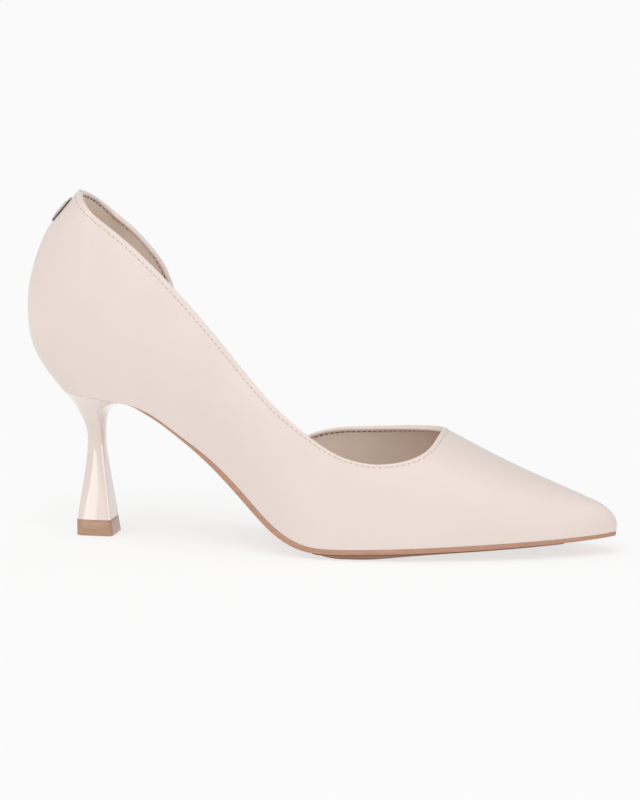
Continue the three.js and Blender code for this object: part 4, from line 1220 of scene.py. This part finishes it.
def build_upper():
    upper = build_sheet("upper", "topline_fold", "upper_outer", *upper_patch(TOP_ROLL))
    quarter = build_sheet("inner_quarter", "quarter_fold", "medial_quarter", *quarter_patch(TOP_ROLL))
    add_stitching("topline", *upper, "topline_thread")
    add_stitching("quarter", *quarter, "quarter_thread")


def build_lining():
    for node, (patch, _) in (
        ("vamp_lining", upper_patch(LINING_BELOW)),
        ("quarter_lining", quarter_patch(LINING_BELOW)),
    ):
        sheet = shell(node + "_sheet", patch, lining_depth(patch), LINING)
        finish_piece(sheet, lining, "lining_leather", node)


def build_bottom():
    sock = finish_piece(sock_piece(), sock_leather, "sock_leather", "sock_lining")
    xs = stations(SEAT_BACK_X + SOCK_INSET + 0.1, TOE_X - FOAM_SHORT)
    pad = slab("foam_pad", xs, SOCK_INSET, foam_top, foam_bottom, FOAM_EDGE, crown_up=FOAM_CROWN)
    finish_piece(pad, foam, "foam", "insole_foam")
    xs = stations(BREAST_X + 0.4, TOE_X - SOLE_SHORT)
    sole = slab("sole", xs, 0.0, sole_top, sole_bottom, SOLE_EDGE)
    finish_piece(sole, sole_edge, "sole", "outsole")
    xs = stations(TREAD_X, TREAD_END_X)
    tread = slab("tread", xs, TREAD_INSET, tread_top, tread_bottom, SOLE_EDGE, bevel=TREAD_BEVEL)
    finish_piece(tread, tread_rubber_painted_shade, "tread", "forepart_tread")


def build_heel():
    finish_piece(heel_piece(), lacquer, "heel_lacquer", "heel_body")
    finish_piece(lift_piece(), tip_rubber, "heel_tip", "top_lift")


def build_trim():
    bar, pad, studs = trim_pieces()
    finish_piece(bar, trim_metal, "trim_metal", "back_trim")
    # the pad's dark colour is painted shadow of the bar
    finish_piece(pad, trim_painted_shadow, "trim_metal")
    finish_piece(studs, trim_metal, "trim_metal")


def finish_inner_nodes():
    """The CAD pieces that stay as they are get their own materials."""
    steel_names = ("steel_", "shank_rivet", "heel_tube", "heel_screw", "heel_nail", "top_lift_pin")
    kinds = {
        "heel_counter": stiffener,
        "toe_puff": stiffener,
        "forepart_insole": board,
        "shank_board": board,
        "bottom_filler": filler,
    }
    for name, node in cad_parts.items():
        material = steel if name.startswith(steel_names) else kinds.get(name)
        if material:
            node.data.materials.clear()
            node.data.materials.append(material)


# -------- camera, floor and lights
def add_camera():
    data = bpy.data.cameras.new("camera")
    data.lens = CAMERA_LENS
    data.sensor_width = SENSOR
    data.clip_end = CAMERA_FAR
    camera = add_object("camera", data)
    camera.location = row(CAMERA_PLACE)
    camera.rotation_euler = (math.radians(90 - CAMERA_RISE), 0, math.radians(CAMERA_AZIMUTH))
    bpy.context.scene.camera = camera


def add_strip(name, place, target, power):
    """A tall narrow light, which the lacquered heel mirrors as a bright line."""
    data = bpy.data.lights.new(name, "AREA")
    data.shape = "RECTANGLE"
    data.size = STRIP_WIDTH
    data.size_y = STRIP_HEIGHT
    data.energy = power
    light = add_object(name, data)
    light.location = place
    aim = Vector(target) - Vector(place)
    light.rotation_euler = aim.to_track_quat("-Z", "Y").to_euler()


def add_stage():
    """A wide pale floor that glows faintly, so that shadows on it stay soft."""
    mesh = bpy.data.meshes.new("stage")
    corners = [(x * STAGE_HALF, y * STAGE_HALF, 0) for x, y in ((-1, -1), (1, -1), (1, 1), (-1, 1))]
    mesh.from_pydata(corners, [], [(0, 1, 2, 3)])
    stage = add_object("stage", mesh)
    finish = Finish("stage", (FLOOR_WHITE,) * 3, 0.9, Specular_IOR_Level=0.0)
    finish.set("Emission Color", (*WHITE, 1.0))
    finish.set("Emission Strength", FLOOR_GLOW)
    mesh.materials.append(finish.material)


def add_world():
    world = bpy.data.worlds.new("world")
    world.use_nodes = True
    background = world.node_tree.nodes["Background"]
    background.inputs["Color"].default_value = (*WHITE, 1.0)
    background.inputs["Strength"].default_value = WORLD_GLOW
    bpy.context.scene.world = world


def add_sun(name, direction, power, angle):
    """direction points from the object to the sun."""
    data = bpy.data.lights.new(name, "SUN")
    data.energy = power
    data.angle = math.radians(angle)
    light = add_object(name, data)
    light.rotation_euler = Vector(direction).to_track_quat("Z", "Y").to_euler()


def add_lights():
    add_sun("top", SUN_FROM, SUN_POWER, SUN_ANGLE)
    add_strip("strip", *FRONT_STRIP)
    add_strip("edge_strip", *EDGE_STRIP)


add_camera()
build_upper()
build_lining()
build_bottom()
build_heel()
build_trim()
finish_inner_nodes()
add_stage()
add_world()
add_lights()
bpy.context.scene.view_settings.view_transform = "Standard"
